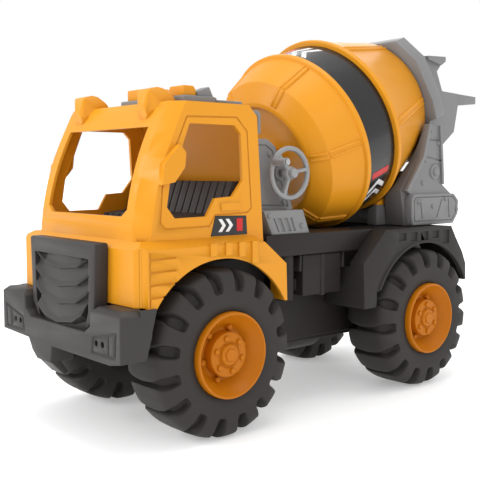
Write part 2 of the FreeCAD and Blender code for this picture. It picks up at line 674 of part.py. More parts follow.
def make_bumper():
    """Bumper with a raised tower at each end, lamp panels drawn by grooves, and a skid."""
    face = prism("bumper_face", "y", [
        ("-bumper_half", "60"), ("-bumper_half", "86.5"), ("-bumper_half + 4", "90.5"),
        ("-48", "90.5"), ("-43.5", "86"), ("-43", "78"), ("-36.5", "73.5"), ("36.5", "73.5"),
        ("43", "78"), ("43.5", "86"), ("48", "90.5"), ("bumper_half - 4", "90.5"),
        ("bumper_half", "86.5"), ("bumper_half", "60"), ("64", "57.5"), ("-6", "57.5"),
        ("-8", "46"), ("-27", "46"), ("-34", "51"), ("-39", "58"),
    ], "-80", "-63")
    skid = prism("bumper_skid", "x", [
        ("-79", "46.5"), ("-69", "36"), ("-66", "38"), ("-72", "46.5"),
    ], "-27", "-9")
    sides = [box(f"bumper_return_{name}", (low, high), ("-66", "-57.5"), ("60", "84"))
             for name, low, high in (("left", "bumper_half - 8", "bumper_half"),
                                     ("right", "-bumper_half", "-bumper_half + 8"))]
    cuts = [prism("bumper_top_chamfer", "x", [
        ("-81", "86.3"), ("-81", "91.5"), ("-75.5", "91.5"),
    ], "-bumper_half - 1", "bumper_half + 1")]
    for name, flip in (("left", "1"), ("right", "-1")):
        cuts.append(prism(f"bumper_edge_chamfer_{name}", "z", [
            (f"{flip} * (bumper_half - 1.6)", "-81"), (f"{flip} * (bumper_half + 1)", "-81"),
            (f"{flip} * (bumper_half + 1)", "-78.4"),
        ], "50", "95"))
        outer = prism(f"lamp_panel_outer_{name}", "y", [
            (f"{flip} * 73.5", "78.4"), (f"{flip} * 46.6", "72.2"), (f"{flip} * 45", "62"),
            (f"{flip} * 72", "62"),
        ], "-81", "-78.9")
        inner = prism(f"lamp_panel_inner_{name}", "y", [
            (f"{flip} * 72.2", "76.9"), (f"{flip} * 48", "71.2"), (f"{flip} * 46.6", "63.2"),
            (f"{flip} * 70.9", "63.2"),
        ], "-82", "-78")
        cuts.append(cut(f"lamp_panel_groove_{name}", outer, inner))
        cuts.append(box(f"lamp_divider_{name}", (f"{flip} * 64.6 - 0.5", f"{flip} * 64.6 + 0.5"),
                        ("-81", "-78.9"), ("62.8", "75.6")))
        for spot, (x, z) in (("in", ("50.8", "68.8")), ("out", ("58", "69"))):
            cuts.append(rod(f"lamp_hole_{name}_{spot}", "y", (f"{flip} * {x}", z), "-81", "-76",
                            "2"))
    sub_part("bumper", cut("bumper_body", fuse("bumper_solid", face, skid, *sides), *cuts))


def make_grille():
    """Tapered slab with a pointed middle that steps forward toward its foot."""
    slab = prism("grille_slab", "y", [
        ("-43", "128"), ("43", "128"), ("41", "84"), ("33", "74.2"), ("-33", "74.2"),
        ("-41", "84"),
    ], "-75.5", "-65.4")
    recess = prism("grille_recess", "y", [
        ("-36", "124"), ("36", "124"), ("34.5", "86"), ("28", "73"), ("-28", "73"),
        ("-34.5", "86"),
    ], "-77", "-71")
    plan = prism("grille_ridge_plan", "z", [
        ("-36.5", "-71.2"), ("-22", "-73"), ("0", "-79"), ("22", "-73"), ("36.5", "-71.2"),
        ("36.5", "-69"), ("-36.5", "-69"),
    ], "74.2", "124")
    steps = prism("grille_steps", "x", [
        ("-69", "124"), ("-73.2", "124"), ("-73.2", "112"), ("-74.7", "109.4"),
        ("-74.7", "100.4"), ("-76.2", "97.8"), ("-76.2", "89.2"), ("-77.6", "86.6"),
        ("-77.6", "77.2"), ("-79", "74.6"), ("-79", "74.2"), ("-69", "74.2"),
    ], "-37", "37")
    limit = prism("grille_ridge_limit", "y", [
        ("-36", "124"), ("36", "124"), ("34.5", "86"), ("29", "74.2"), ("-29", "74.2"),
        ("-34.5", "86"),
    ], "-81", "-68")
    ridge = common("grille_ridge", plan, steps, limit)
    sub_part("grille", fuse("grille_body", cut("grille_frame", slab, recess), ridge))


def make_roof_load():
    """Grey console on the roof with its rail and rear hook, two yellow boxes and a horn."""
    plate = prism("roof_plate", "z", [
        ("-20", "-16"), ("54", "-16"), ("54", "9"), ("50", "14"), ("-16", "14"), ("-20", "9"),
    ], "roof_z", "roof_z + 5")
    rail = fuse("roof_rail",
                box("rail_bar", ("50", "54"), ("12", "33"), ("roof_z + 0.6", "roof_z + 3.2")),
                box("rail_foot", ("50", "54"), ("22", "25.6"), ("roof_z", "roof_z + 1")),
                box("rail_cross", ("-8", "54"), ("29", "33"), ("roof_z + 0.6", "roof_z + 3.2")))
    sub_part("roof_console", fuse("roof_console_body", plate, rail))
    centre = prism("roof_box_centre_block", "y", [
        ("-16", "roof_z + 5"), ("-16", "roof_z + 12.6"), ("12", "roof_z + 12.6"),
        ("18", "roof_z + 7"), ("18", "roof_z + 5"),
    ], "-13", "8")
    sub_part("roof_box_centre", centre)
    side = prism("roof_box_side_block", "x", [
        ("-13", "roof_z + 5"), ("-13", "roof_z + 11.6"), ("-5", "roof_z + 11.6"),
        ("-3", "roof_z + 9"), ("-3", "roof_z + 5"),
    ], "34", "50")
    sub_part("roof_box_side", side)
    horn = prism("horn_block", "x", [
        ("-2.5", "roof_z + 5"), ("-2.5", "roof_z + 8"), ("7", "roof_z + 11.6"),
        ("10.5", "roof_z + 5"),
    ], "42", "51")
    sub_part("roof_horn", horn)
    hook = prism("hook_bent_strip", "x", [
        ("33.22", "209.07"), ("36.5", "212.6"), ("44", "212.6"), ("46", "210.6"), ("46", "197"),
        ("43.2", "197"), ("43.2", "208.6"), ("42.2", "209.6"), ("36.6", "209.6"),
        ("34.57", "205.9"), ("34.42", "207.9"),
    ], "48", "58")
    hook = cut("hook", hook, box("hook_slot", ("51", "55"), ("38", "47"), ("199.6", "213")))
    sub_part("cab_rear_hook", hook)


# ---------------------------------------------------------------- drum
def drum_spot(station):
    """Expressions for the point of the drum's axis at a station."""
    return ("0", f"front_axle_y + drum_y + ({station}) * cos(drum_tilt * 1 deg)",
            f"drum_z + ({station}) * sin(drum_tilt * 1 deg)")


def drum_turn():
    """Turns the Z axis onto the drum's axis."""
    return FreeCAD.Rotation(V(-1, 0, 0), 90 - number("drum_tilt"))


def rod_on_drum(name, low, high, radius):
    """Cylinder on the drum's axis between two stations."""
    solid = doc.addObject("Part::Cylinder", name)
    turn = drum_turn().multiply(FreeCAD.Rotation(V(0, 0, 1), 90))
    spot = drum_spot(low)
    place(solid, (spot[0], spot[1].replace("front_axle_y + ", ""), spot[2]), turn)
    bind(solid, "Radius", radius)
    bind(solid, "Height", f"({high}) - ({low})")
    return solid


def set_on_drum_axis(body):
    """Lays a body's Z axis along the drum's axis, with z = 0 at the belt's front edge."""
    set_down(body, drum_spot("0"), drum_turn())


def make_drum():
    split = "belt_width / 2"
    front = new_body("drum_front_shell")
    turned(front, "front_wall", [
        ("0", "-30"), ("8", "-30"), ("14", "-29"), ("42", "rim_station + 3"),
        ("42.6", "rim_station"), ("46.9", "rim_station"), ("60.6", "-30.9"), ("70.2", "-4.8"),
        ("72.2", "-4.4"), ("73", "-3.4"), ("73", "0"), ("belt_radius - 0.7", "0"),
        ("belt_radius - 0.7", split), ("belt_radius - 0.7 - drum_wall", split),
        ("belt_radius - 0.7 - drum_wall", "-4"), ("58.6", "-28.6"), ("44", "rim_station + 6"),
        ("14", "-26"), ("0", "-26"),
    ])
    rib = padded(front, "front_rib", "y", [
        ("46.4", "-38"), ("60.4", "-29.5"), ("69.8", "-4.2"), ("71.4", "-4.6"),
        ("62.1", "-31.6"), ("47.8", "-40"),
    ], "5.2", midplane=True)
    around(front, "front_ribs", rib, "6")
    set_on_drum_axis(front)
    rear = new_body("drum_rear_shell")
    turned(rear, "rear_wall", [
        ("belt_radius - 0.7", split), ("belt_radius - 0.7", "belt_width"),
        ("73.8", "belt_width"), ("73.8", "belt_width + 3.6"), ("71.6", "belt_width + 5"),
        ("53.9", "drum_end"), ("neck_radius - neck_play", "drum_end"),
        ("neck_radius - neck_play", "drum_end + 4.8"), ("neck_radius - 3.4", "drum_end + 4.8"),
        ("neck_radius - 3.4", "drum_end - 2"), ("belt_radius - 0.7 - drum_wall", "belt_width + 6"),
        ("belt_radius - 0.7 - drum_wall", split),
    ])
    rib = padded(rear, "rear_rib", "y", [
        ("71", "belt_width + 4.4"), ("53.4", "drum_end - 0.6"), ("55", "drum_end - 0.2"),
        ("73", "belt_width + 4.4"),
    ], "5.2", midplane=True)
    around(rear, "rear_ribs", rib, "6")
    set_on_drum_axis(rear)
    belt = new_body("drum_belt")
    turned(belt, "belt_band", [
        ("belt_radius - 0.7", "0"), ("belt_radius", "0"), ("belt_radius", "belt_width"),
        ("belt_radius - 0.7", "belt_width"),
    ])
    set_on_drum_axis(belt)


def make_drum_drive():
    """Bevel drive: the cross shaft's pinion turns the crown gear on the drum's spindle."""
    pitch_plane = "crank_station + pinion_pitch"
    spindle = new_body("drum_spindle")
    turned(spindle, "spindle_turned", [
        ("0", "-30"), ("9", "-30"), ("9", "-33"), ("spindle_radius", "-35"),
        ("spindle_radius", f"{pitch_plane} + 4"), ("0", f"{pitch_plane} + 4"),
    ])
    set_on_drum_axis(spindle)
    crown = new_body("crown_gear")
    turned(crown, "crown_disc", [
        ("0", f"{pitch_plane} + tooth_root"), ("gear_pitch + 1.8", f"{pitch_plane} + tooth_root"),
        ("gear_pitch + 1.8", f"{pitch_plane} + 4"), ("0", f"{pitch_plane} + 4"),
    ])
    tooth = padded(crown, "crown_tooth", "x", [
        ("-1", f"{pitch_plane} + tooth_root + 0.2"), ("-0.4", f"{pitch_plane} - tooth_tip"),
        ("0.4", f"{pitch_plane} - tooth_tip"), ("1", f"{pitch_plane} + tooth_root + 0.2"),
    ], "2.8", lift="gear_pitch - 1.4")
    around(crown, "crown_teeth", tooth, "gear_teeth")
    set_on_drum_axis(crown)
    pinion = new_body("crank_pinion")
    turned(pinion, "pinion_hub", [
        ("shaft_radius", "gear_pitch - 3"), ("pinion_pitch - tooth_root", "gear_pitch - 3"),
        ("pinion_pitch - tooth_root", "gear_pitch + 3"), ("shaft_radius", "gear_pitch + 3"),
    ])
    tooth = padded(pinion, "pinion_tooth", "z", [
        ("-1", "pinion_pitch - tooth_root - 0.2"), ("-0.4", "pinion_pitch + tooth_tip"),
        ("0.4", "pinion_pitch + tooth_tip"), ("1", "pinion_pitch - tooth_root - 0.2"),
    ], "2.6", lift="gear_pitch - 1.3")
    around(pinion, "pinion_teeth", tooth, "pinion_teeth")
    # at rest a gap of the pinion faces a tooth of the crown gear
    tilt = number("drum_tilt")
    axle = FreeCAD.Rotation(V(0, 1, 0), 90)
    toward_gear = FreeCAD.Rotation(V(1, 0, 0), tilt + 180 / number("pinion_teeth"))
    set_down(pinion, drum_spot("crank_station"), toward_gear.multiply(axle))


def make_crank():
    spot = drum_spot("crank_station")
    axle = FreeCAD.Rotation(V(0, 1, 0), 90)
    shaft = new_body("crank_shaft")
    turned(shaft, "shaft_turned", [
        ("0", "8"), ("shaft_radius", "8"), ("shaft_radius", "wheel_x - 3"), ("0", "wheel_x - 3"),
    ])
    set_down(shaft, spot, axle)
    wheel = new_body("hand_wheel")
    turned(wheel, "wheel_hub", [
        ("0", "wheel_x - 3"), ("5", "wheel_x - 3"), ("5", "wheel_x + 1"), ("3.6", "wheel_x + 2.4"),
        ("3.6", "wheel_x + 5"), ("2.8", "wheel_x + 6"), ("0", "wheel_x + 6"),
    ])
    spoke = padded(wheel, "spoke", "x", [
        ("-1.7", "wheel_x - 1.4"), ("1.7", "wheel_x - 1.4"), ("1.2", "wheel_x + 1.6"),
        ("-1.2", "wheel_x + 1.6"),
    ], "hand_wheel_radius - 3", lift="3")
    around(wheel, "spokes", spoke, "3")
    ring = body_circle(wheel, "ring_outline", "y", ("hand_wheel_radius", "wheel_x"),
                       "hand_wheel_tube")
    rim = wheel.newObject("PartDesign::Revolution", "wheel_ring")
    rim.Profile = ring
    rim.ReferenceAxis = (ring, ["V_Axis"])
    wheel.Tip = rim
    # at rest one spoke points back and slightly up
    set_down(wheel, spot, FreeCAD.Rotation(V(1, 0, 0), -20).multiply(axle))
    knob_y = f"{spot[1]} - front_axle_y - hand_wheel_radius * knob_forward"
    knob_z = f"{spot[2]} + hand_wheel_radius * knob_upward"
    pin = fuse("knob_pin_body",
               rod("knob_pin_rod", "x", (knob_y, knob_z), "wheel_x + 1", "wheel_x + 14.6", "1.3"),
               rod("knob_pin_head", "x", (knob_y, knob_z), "wheel_x + 14", "wheel_x + 15", "2"))
    grip = cut("knob_body",
               rod("knob_grip", "x", (knob_y, knob_z), "wheel_x + 2.3", "wheel_x + 13.9", "2.9"),
               rod("knob_bore", "x", (knob_y, knob_z), "wheel_x", "wheel_x + 16", "1.38"))
    sub_part("knob_pin", pin)
    sub_part("crank_knob", grip)


# ---------------------------------------------------------------- tower behind the cab
def make_tower():
    outer = prism("tower_outer", "x", [
        ("45.5", "deck_top"), ("45.5", "194.5"), ("66", "194.5"), ("73", "190"), ("91", "144"),
        ("91", "deck_top"),
    ], "-tower_half", "tower_half")
    inner = prism("tower_inner", "x", [
        ("44", "130.5"), ("44", "192"), ("65.3", "192"), ("70.8", "188.4"), ("88.5", "143.4"),
        ("88.5", "130.5"),
    ], "-tower_half + mould_wall", "tower_half - mould_wall")
    gear_back = "crank_station + pinion_pitch + 4"
    housing = rod_on_drum("housing_round", "crank_station - 6", f"{gear_back} + 3.4", "21.6")
    room = rod_on_drum("gear_room", "crank_station - 8", f"{gear_back} + 0.8", "19.2")
    hole = rod_on_drum("spindle_hole", f"{gear_back} - 2", f"{gear_back} + 9",
                       "spindle_radius + axle_play")
    crank = drum_spot("crank_station")
    crank_y = crank[1].replace("front_axle_y + ", "")
    boss = rod("crank_boss", "x", (crank_y, crank[2]), "22", "tower_half", "6")
    bore = rod("crank_bore", "x", (crank_y, crank[2]), "14", "tower_half + 1", "4")
    bush = cut("crank_bush_body",
               fuse("crank_bush_solid",
                    rod("crank_bush_sleeve", "x", (crank_y, crank[2]), "22", "tower_half + 1.4", "4"),
                    rod("crank_bush_flange", "x", (crank_y, crank[2]), "tower_half",
                        "tower_half + 1.4", "5.6")),
               rod("crank_bush_bore", "x", (crank_y, crank[2]), "20", "tower_half + 3",
                   "shaft_radius + axle_play"))
    sub_part("crank_bush", bush)
    walls = cut("tower_walls", outer, inner)
    seat = rod_on_drum("housing_seat", "crank_station - 6", f"{gear_back} + 5", "21.6")
    sub_part("gear_tower", cut("tower_body", fuse("tower_solid", walls, boss), seat, bore))
    sub_part("gear_housing", cut("housing_body", housing, room, hole, bore))
    plate = box("tower_cover_plate", ("-tower_half", "tower_half"), ("43.5", "45.5"),
                ("deck_top", "194.5"))
    sub_part("tower_cover", plate)


def make_step_panels():
    panel = prism("step_panel_block", "x", [
        ("47", "144.4"), ("84.7", "144.4"), ("91.4", "deck_top"), ("55", "deck_top"),
    ], "tower_half", "side_plate_x")
    recess = prism("step_recess", "x", [
        ("56", "139"), ("74", "139"), ("78", "129.5"), ("61", "129.5"),
    ], "side_plate_x - 1.5", "side_plate_x + 1")
    slats = [prism(f"step_slat_{k}", "x", [
        (f"{57 + 6 * k}", "139.5"), (f"{59.2 + 6 * k}", "139.5"), (f"{64.4 + 6 * k}", "129"),
        (f"{62.2 + 6 * k}", "129"),
    ], "side_plate_x - 1.6", "side_plate_x") for k in range(3)]
    pair("step_panel", fuse("step_panel_body", cut("step_cut", panel, recess), *slats))


# ---------------------------------------------------------------- rear frame
def make_rear_frame():
    cheek = prism("cheek", "x", [
        ("205", "deck_top"), ("199.4", "156"), ("220.4", "183.5"), ("226", "205"), ("239.2", "205"),
        ("250.2", "178"), ("251", "160"), ("258", "deck_top"),
    ], "38", "side_plate_x - side_plate_wall")
    swept = rod_on_drum("drum_clearance", "belt_width - 4", "belt_width + 8", "74.8")
    swept_cone = doc.addObject("Part::Cone", "cone_clearance")
    low = rod_on_drum("cone_seat", "belt_width + 4", "drum_end", "1")
    swept_cone.Placement = low.Placement
    bind(swept_cone, "Radius1", "74.8")
    bind(swept_cone, "Radius2", "56.4")
    bind(swept_cone, "Height", "drum_end - belt_width - 4")
    cheek_cut = cut("cheek_cut", cheek, swept, swept_cone)
    wall = box("pedestal_wall", ("-39", "39"), ("205", "208.5"), ("deck_top", "165"))
    web = box("pedestal_web", ("-39", "39"), ("234", "237"), ("deck_top", "172"))
    posts = box("pedestal_posts", ("-36", "36"), ("194", "206"), ("deck_top", "144"))
    gap = box("post_gap", ("-26", "26"), ("190", "205"), ("deck_top - 1", "146"))
    wall_cut = cut("pedestal_wall_cut", fuse("pedestal_cross_walls", wall, web, posts),
                   swept, swept_cone, gap)
    bridge = box("pedestal_bridge", ("-36", "36"), ("236", "258"), ("deck_top", "136"))
    links = [box(f"pedestal_link_{name}", (low, high), ("240", "257"), ("deck_top", "136"))
             for name, low, high in (("left", "35", "40"), ("right", "-40", "-35"))]
    sub_part("rear_pedestal", fuse("pedestal_body", cheek_cut,
                                   mirrored("right_cheek", cheek_cut), wall_cut, bridge,
                                   *links))
    outer = prism("plate_outer", "x", [
        ("207", "deck_top"), ("205", "132"), ("205", "149"), ("207.5", "153.5"), ("201", "156"),
        ("220.4", "183.5"), ("228", "210.5"), ("244.3", "209.3"), ("249", "161"),
        ("260.7", "153.5"), ("269", "147.6"), ("268.6", "135.4"), ("262", "deck_top"),
    ], "side_plate_x - side_plate_wall", "side_plate_x")
    boss = rod("plate_boss", "x", ("237.7", "171.3"), "side_plate_x - 1", "side_plate_x + 1.6",
               "6.2")
    block = prism("plate_block", "x", [
        ("207", "128"), ("205", "133"), ("205", "149"), ("208", "153"), ("262", "153"),
        ("268.6", "147"), ("268", "136"), ("261.5", "128"),
    ], "side_plate_x - 1", "side_plate_x + 3")
    rims = [prism("plate_rim_front", "x", [
        ("199.4", "156"), ("220.4", "183.5"), ("228", "210.5"), ("231", "210.3"),
        ("223.6", "182.6"), ("203.2", "155.4"),
    ], "side_plate_x - 1", "side_plate_x + 2.4"),
        prism("plate_rim_rear", "x", [
            ("244.3", "209.3"), ("242", "209.5"), ("246.6", "161"), ("249.2", "161"),
        ], "side_plate_x - 1", "side_plate_x + 2.4")]
    pair("side_plate", fuse("side_plate_body", outer, boss, block, *rims))
    rest = prism("rest_block", "x", [
        ("196", "144"), ("196", "160"), ("204.9", "160"), ("204.9", "144"),
    ], "27", "35")
    rest_cut = cut("rest_cut", rest, rod_on_drum("rest_clearance", "belt_width - 12",
                                                 "belt_width + 34", "74.2"))
    sub_part("drum_rests", rest_cut, mirrored("right_rest", rest_cut))


def make_collar():
    """Plate that carries the drum's neck, with a folded hood round its edge.

    The outline's second coordinate runs down across the drum's axis.
    """
    collar = new_body("drum_collar")
    padded(collar, "hood", "z", [
        ("-62", "17"), ("-62.2", "2"), ("-54.6", "-32.7"), ("-38.3", "-51"), ("38.3", "-51"),
        ("54.6", "-32.7"), ("62.2", "2"), ("62", "17"), ("54", "19"), ("40", "55"), ("-40", "55"),
        ("-54", "19"),
    ], "12", lift="drum_end + 1")
    hollow = padded(collar, "hood_hollow", "z", [
        ("-59", "17"), ("-59.2", "2"), ("-52", "-31.4"), ("-37", "-48"), ("37", "-48"),
        ("52", "-31.4"), ("59.2", "2"), ("59", "17.6"), ("56", "20"), ("44", "60"), ("-44", "60"),
        ("-56", "20"),
    ], "12", lift="drum_end + 5", kind="PartDesign::Pocket")
    hollow.Reversed = True
    doc.recompute()
    turned(collar, "neck_hole", [
        ("0", "drum_end - 2"), ("neck_radius", "drum_end - 2"), ("neck_radius", "drum_end + 14"),
        ("0", "drum_end + 14"),
    ], "PartDesign::Groove")
    set_on_drum_axis(collar)


def make_hopper():
    """Open hopper behind the collar, with a lip above and a discharge chute below."""
    wall = [
        ("222.4", "263.5"), ("228.6", "267"), ("262", "268.5"), ("262", "264.5"), ("254", "256"),
        ("262", "240"), ("285", "239"), ("285", "228"), ("280", "206"), ("264", "194.5"),
        ("250.5", "192.4"),
    ]
    outer = prism("hopper_outer", "x", wall, "-hopper_half", "hopper_half")
    inner = prism("hopper_inner", "x", [
        ("215", "280"), ("262", "280"), ("282.5", "250"), ("282.5", "228.6"), ("277.8", "207.4"),
        ("262.8", "197"), ("247", "194.6"),
    ], "-hopper_half + mould_wall", "hopper_half - mould_wall")
    lip = prism("hopper_lip", "x", [
        ("238", "267.4"), ("262", "268.5"), ("262", "264.5"), ("256", "261"), ("238", "264.6"),
    ], "hopper_half - 1", "hopper_half + 3")
    shell = cut("hopper_shell", outer, inner)
    sub_part("hopper", fuse("hopper_body", shell, lip, mirrored("right_lip", lip)))
    tray = prism("tray_outer", "x", [
        ("285", "229"), ("285", "239"), ("312", "238"), ("312", "231.5"),
    ], "-hopper_half", "hopper_half")
    tray_hollow = prism("tray_hollow", "x", [
        ("284", "231.4"), ("284", "245"), ("313", "245"), ("313", "233.8"),
    ], "-hopper_half + mould_wall", "hopper_half - mould_wall")
    sub_part("discharge_chute", cut("chute_body", tray, tray_hollow))


def make_door_labels():
    label = prism("label_sheet", "x", [
        ("-1.3", "143.4"), ("24.8", "142.8"), ("25.8", "130"), ("-5.4", "130"),
    ], "cab_half", "cab_half + 0.3")
    pair("door_label", label)


def make_belly_screws():
    screws = []
    for k, (x, y) in enumerate(SCREW_SPOTS):
        shank = rod(f"screw_shank_{k}", "z", (x, y), "42", "58", "1.4")
        head = rod(f"screw_head_{k}", "z", (x, y), "41.1", "42.7", "screw_head_radius")
        screws.append(fuse(f"screw_{k}", shank, head))
    sub_part("belly_screws", *screws)


make_wheels()
make_axles()
make_chassis()
make_belly_cover()
make_belly_screws()
make_side_tanks()
make_rear_fenders()
make_cab()
make_cab_inside()
make_bumper()
make_grille()
make_roof_load()
make_door_labels()
make_tower()
make_step_panels()
make_crank()
make_drum_drive()
make_drum()
make_rear_frame()
make_collar()
make_hopper()
doc.recompute()

faults = [thing.Label for thing in doc.Objects if {"Invalid", "Error"} & set(thing.State)]
faults += [part.Label for part in sub_parts if part.Shape.isNull() or not part.Shape.isValid()]
if faults:
    raise RuntimeError("these objects failed: " + ", ".join(faults))

os.makedirs("parts", exist_ok=True)
for part in sub_parts:
    part.Shape.exportStep(os.path.join("parts", part.Label + ".step"))
    print(f"{part.Label}: {len(part.Shape.Solids)} solid(s), {part.Shape.Volume:.0f} mm3")
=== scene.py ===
import json
import math

import bmesh
import bpy
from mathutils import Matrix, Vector
from mathutils.bvhtree import BVHTree


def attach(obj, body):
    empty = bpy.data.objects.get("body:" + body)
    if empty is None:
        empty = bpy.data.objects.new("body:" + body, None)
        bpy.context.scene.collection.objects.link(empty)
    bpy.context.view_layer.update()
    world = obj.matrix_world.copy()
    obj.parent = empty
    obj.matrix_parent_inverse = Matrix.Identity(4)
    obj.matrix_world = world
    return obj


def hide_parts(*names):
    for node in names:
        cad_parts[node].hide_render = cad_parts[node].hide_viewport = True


# Looks of the toy cement mixer.  Outlines are in millimetres, with y measured from the front
# axle, as the model's own outlines are; place() turns them into metres in the shared frame.

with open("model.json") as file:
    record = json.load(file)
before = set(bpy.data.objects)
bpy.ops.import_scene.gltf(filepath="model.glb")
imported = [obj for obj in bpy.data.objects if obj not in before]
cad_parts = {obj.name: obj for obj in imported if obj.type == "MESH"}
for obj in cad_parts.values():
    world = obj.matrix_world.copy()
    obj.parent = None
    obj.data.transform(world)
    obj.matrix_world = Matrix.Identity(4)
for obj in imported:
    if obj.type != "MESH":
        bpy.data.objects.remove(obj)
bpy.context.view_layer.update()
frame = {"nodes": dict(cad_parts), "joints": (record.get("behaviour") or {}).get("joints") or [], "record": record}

MM = 0.001
JOINTS = {joint["name"]: joint for joint in frame["joints"]}
SLOT_OF = {part["node"]: part["material_slot"] for part in frame["record"]["subparts"]}
BODY_OF = {node: body for body, nodes in frame["record"]["behaviour"]["bodies"].items()
           for node in nodes}
FRONT_AXLE = Vector(JOINTS["front_wheel_spin"]["pos_m"])
REAR_AXLE = Vector(JOINTS["rear_wheel_spin"]["pos_m"])
DRUM_PLACE = Vector(JOINTS["drum_spin"]["pos_m"])
DRUM_AXIS = Vector(JOINTS["drum_spin"]["axis"])
CRANK_PLACE = Vector(JOINTS["crank_spin"]["pos_m"])
AXIS_PAIRS = {"x": (1, 2), "y": (0, 2), "z": (0, 1)}


def place(x, y, z):
    """Millimetres from the front axle's line, as a point in the frame."""
    return Vector((x * MM, FRONT_AXLE.y + y * MM, z * MM))


# ---------------------------------------------------------------- camera, lights, floor
def add_camera():
    camera = bpy.data.objects.new("camera", bpy.data.cameras.new("camera"))
    bpy.context.scene.collection.objects.link(camera)
    camera.location = (0.4747, -0.4441, 0.1712)
    camera.rotation_euler = (math.radians(85.243), 0, math.radians(49.54))
    camera.data.sensor_width = 36
    camera.data.lens = 61.335
    bpy.context.scene.camera = camera


def add_softbox(name, spot, aim, size, power):
    """Square light of a size in metres and a power in watts, turned to its aim."""
    light = bpy.data.lights.new(name, "AREA")
    light.shape = "SQUARE"
    light.size = size
    light.energy = power
    lamp = bpy.data.objects.new(name, light)
    bpy.context.scene.collection.objects.link(lamp)
    lamp.location = spot
    lamp.rotation_euler = (Vector(aim) - Vector(spot)).to_track_quat("-Z", "Y").to_euler()


def add_studio():
    scene = bpy.context.scene
    scene.view_settings.view_transform = "Standard"
    world = bpy.data.worlds.new("studio")
    world.use_nodes = True
    sky = world.node_tree.nodes["Background"]
    sky.inputs["Color"].default_value = (1, 1, 1, 1)
    sky.inputs["Strength"].default_value = 1.0
    scene.world = world
    middle = (0, 0, 0.12)
    add_softbox("key_light", (-0.5, -1.5, 0.9), middle, 0.6, 12)
    add_softbox("side_light", (1.5, -0.5, 0.9), middle, 0.7, 3)
    add_softbox("top_light", (0.1, 0.0, 1.7), middle, 0.9, 8)
    add_softbox("rear_light", (-0.9, 1.3, 1.0), middle, 1.0, 4)
    sheet = bmesh.new()
    bmesh.ops.create_grid(sheet, x_segments=1, y_segments=1, size=30.0)
    floor = make_object("floor", sheet, floor_material())


# ---------------------------------------------------------------- materials
def add_node(tree, kind, settings=(), inputs=()):
    """A shader node with its settings and inputs; an input's value may be another socket."""
    node = tree.nodes.new(kind)
    for key, value in dict(settings).items():
        setattr(node, key, value)
    for key, value in dict(inputs).items():
        if isinstance(value, bpy.types.NodeSocket):
            tree.links.new(value, node.inputs[key])
        else:
            node.inputs[key].default_value = value
    return node


def shaded(colour, factor):
    return tuple(min(1.0, c * factor) for c in colour) + (1,)


def plastic(name, colour, roughness=0.42, wear_and_highlight=0.3, grain=0.10, mottle=0.05, coat=0.0,
            edge=0.9, gloss=0.26):
    """Moulded plastic: faint mottling and flow marks, fine grain, and every edge painted paler, partly as wear and
    partly as a painted highlight.
    """
    material = bpy.data.materials.new(name)
    material.use_nodes = True
    tree = material.node_tree
    shader = tree.nodes["Principled BSDF"]
    spot = add_node(tree, "ShaderNodeTexCoord").outputs["Object"]
    clouds = add_node(tree, "ShaderNodeTexNoise", (), {
        "Vector": spot, "Scale": 22.0, "Detail": 3.0, "Roughness": 0.6}).outputs["Fac"]
    flow_place = add_node(tree, "ShaderNodeMapping", (), {
        "Vector": spot, "Scale": (30.0, 30.0, 160.0)}).outputs["Vector"]
    flow = add_node(tree, "ShaderNodeTexNoise", (), {
        "Vector": flow_place, "Scale": 1.0, "Detail": 4.0, "Roughness": 0.65}).outputs["Fac"]
    fine = add_node(tree, "ShaderNodeTexNoise", (), {
        "Vector": spot, "Scale": 1400.0, "Detail": 2.0, "Roughness": 0.5}).outputs["Fac"]
    rounded = add_node(tree, "ShaderNodeBevel", {"samples": 6}, {"Radius": edge * MM})
    flat = add_node(tree, "ShaderNodeNewGeometry").outputs["Normal"]
    turn = add_node(tree, "ShaderNodeVectorMath", {"operation": "DOT_PRODUCT"}, {
        0: rounded.outputs["Normal"], 1: flat}).outputs["Value"]
    # edge mask: every sharp edge is painted paler below, partly as wear and partly as a painted highlight
    rim = add_node(tree, "ShaderNodeMapRange", (), {
        "Value": turn, "From Min": 0.995, "From Max": 0.86}).outputs["Result"]
    worn_and_highlit_edges = add_node(tree, "ShaderNodeMath", {"operation": "MULTIPLY"}, {
        0: rim, 1: flow}).outputs["Value"]
    worn_and_highlit_edges = add_node(tree, "ShaderNodeMath", {"operation": "MULTIPLY"}, {
        0: worn_and_highlit_edges, 1: wear_and_highlight * 1.6}).outputs["Value"]
    body = add_node(tree, "ShaderNodeMix", {"data_type": "RGBA"}, {
        "Factor": clouds, 6: shaded(colour, 1 - mottle), 7: shaded(colour, 1 + mottle)})
    pale = tuple(0.45 * c + 0.55 * min(1.0, c * 1.35 + 0.06) for c in colour)
    worn_and_highlit_colour = add_node(tree, "ShaderNodeMix", {"data_type": "RGBA"}, {
        "Factor": worn_and_highlit_edges, 6: body.outputs[2], 7: shaded(pale, 1.0)})
    tree.links.new(worn_and_highlit_colour.outputs[2], shader.inputs["Base Color"])
    rough = add_node(tree, "ShaderNodeMapRange", (), {
        "Value": flow, "From Min": 0.3, "From Max": 0.7,
        "To Min": roughness - 0.05, "To Max": roughness + 0.07}).outputs["Result"]
    tree.links.new(rough, shader.inputs["Roughness"])
    sunk = add_node(tree, "ShaderNodeBump", (), {
        "Strength": 0.12, "Distance": 0.0004, "Height": clouds,
        "Normal": rounded.outputs["Normal"]}).outputs["Normal"]
    bump = add_node(tree, "ShaderNodeBump", (), {
        "Strength": grain, "Distance": 0.0001, "Height": fine, "Normal": sunk})
    tree.links.new(bump.outputs["Normal"], shader.inputs["Normal"])
    shader.inputs["Specular IOR Level"].default_value = gloss
    shader.inputs["Coat Weight"].default_value = coat
    shader.inputs["Coat Roughness"].default_value = 0.16
    return material


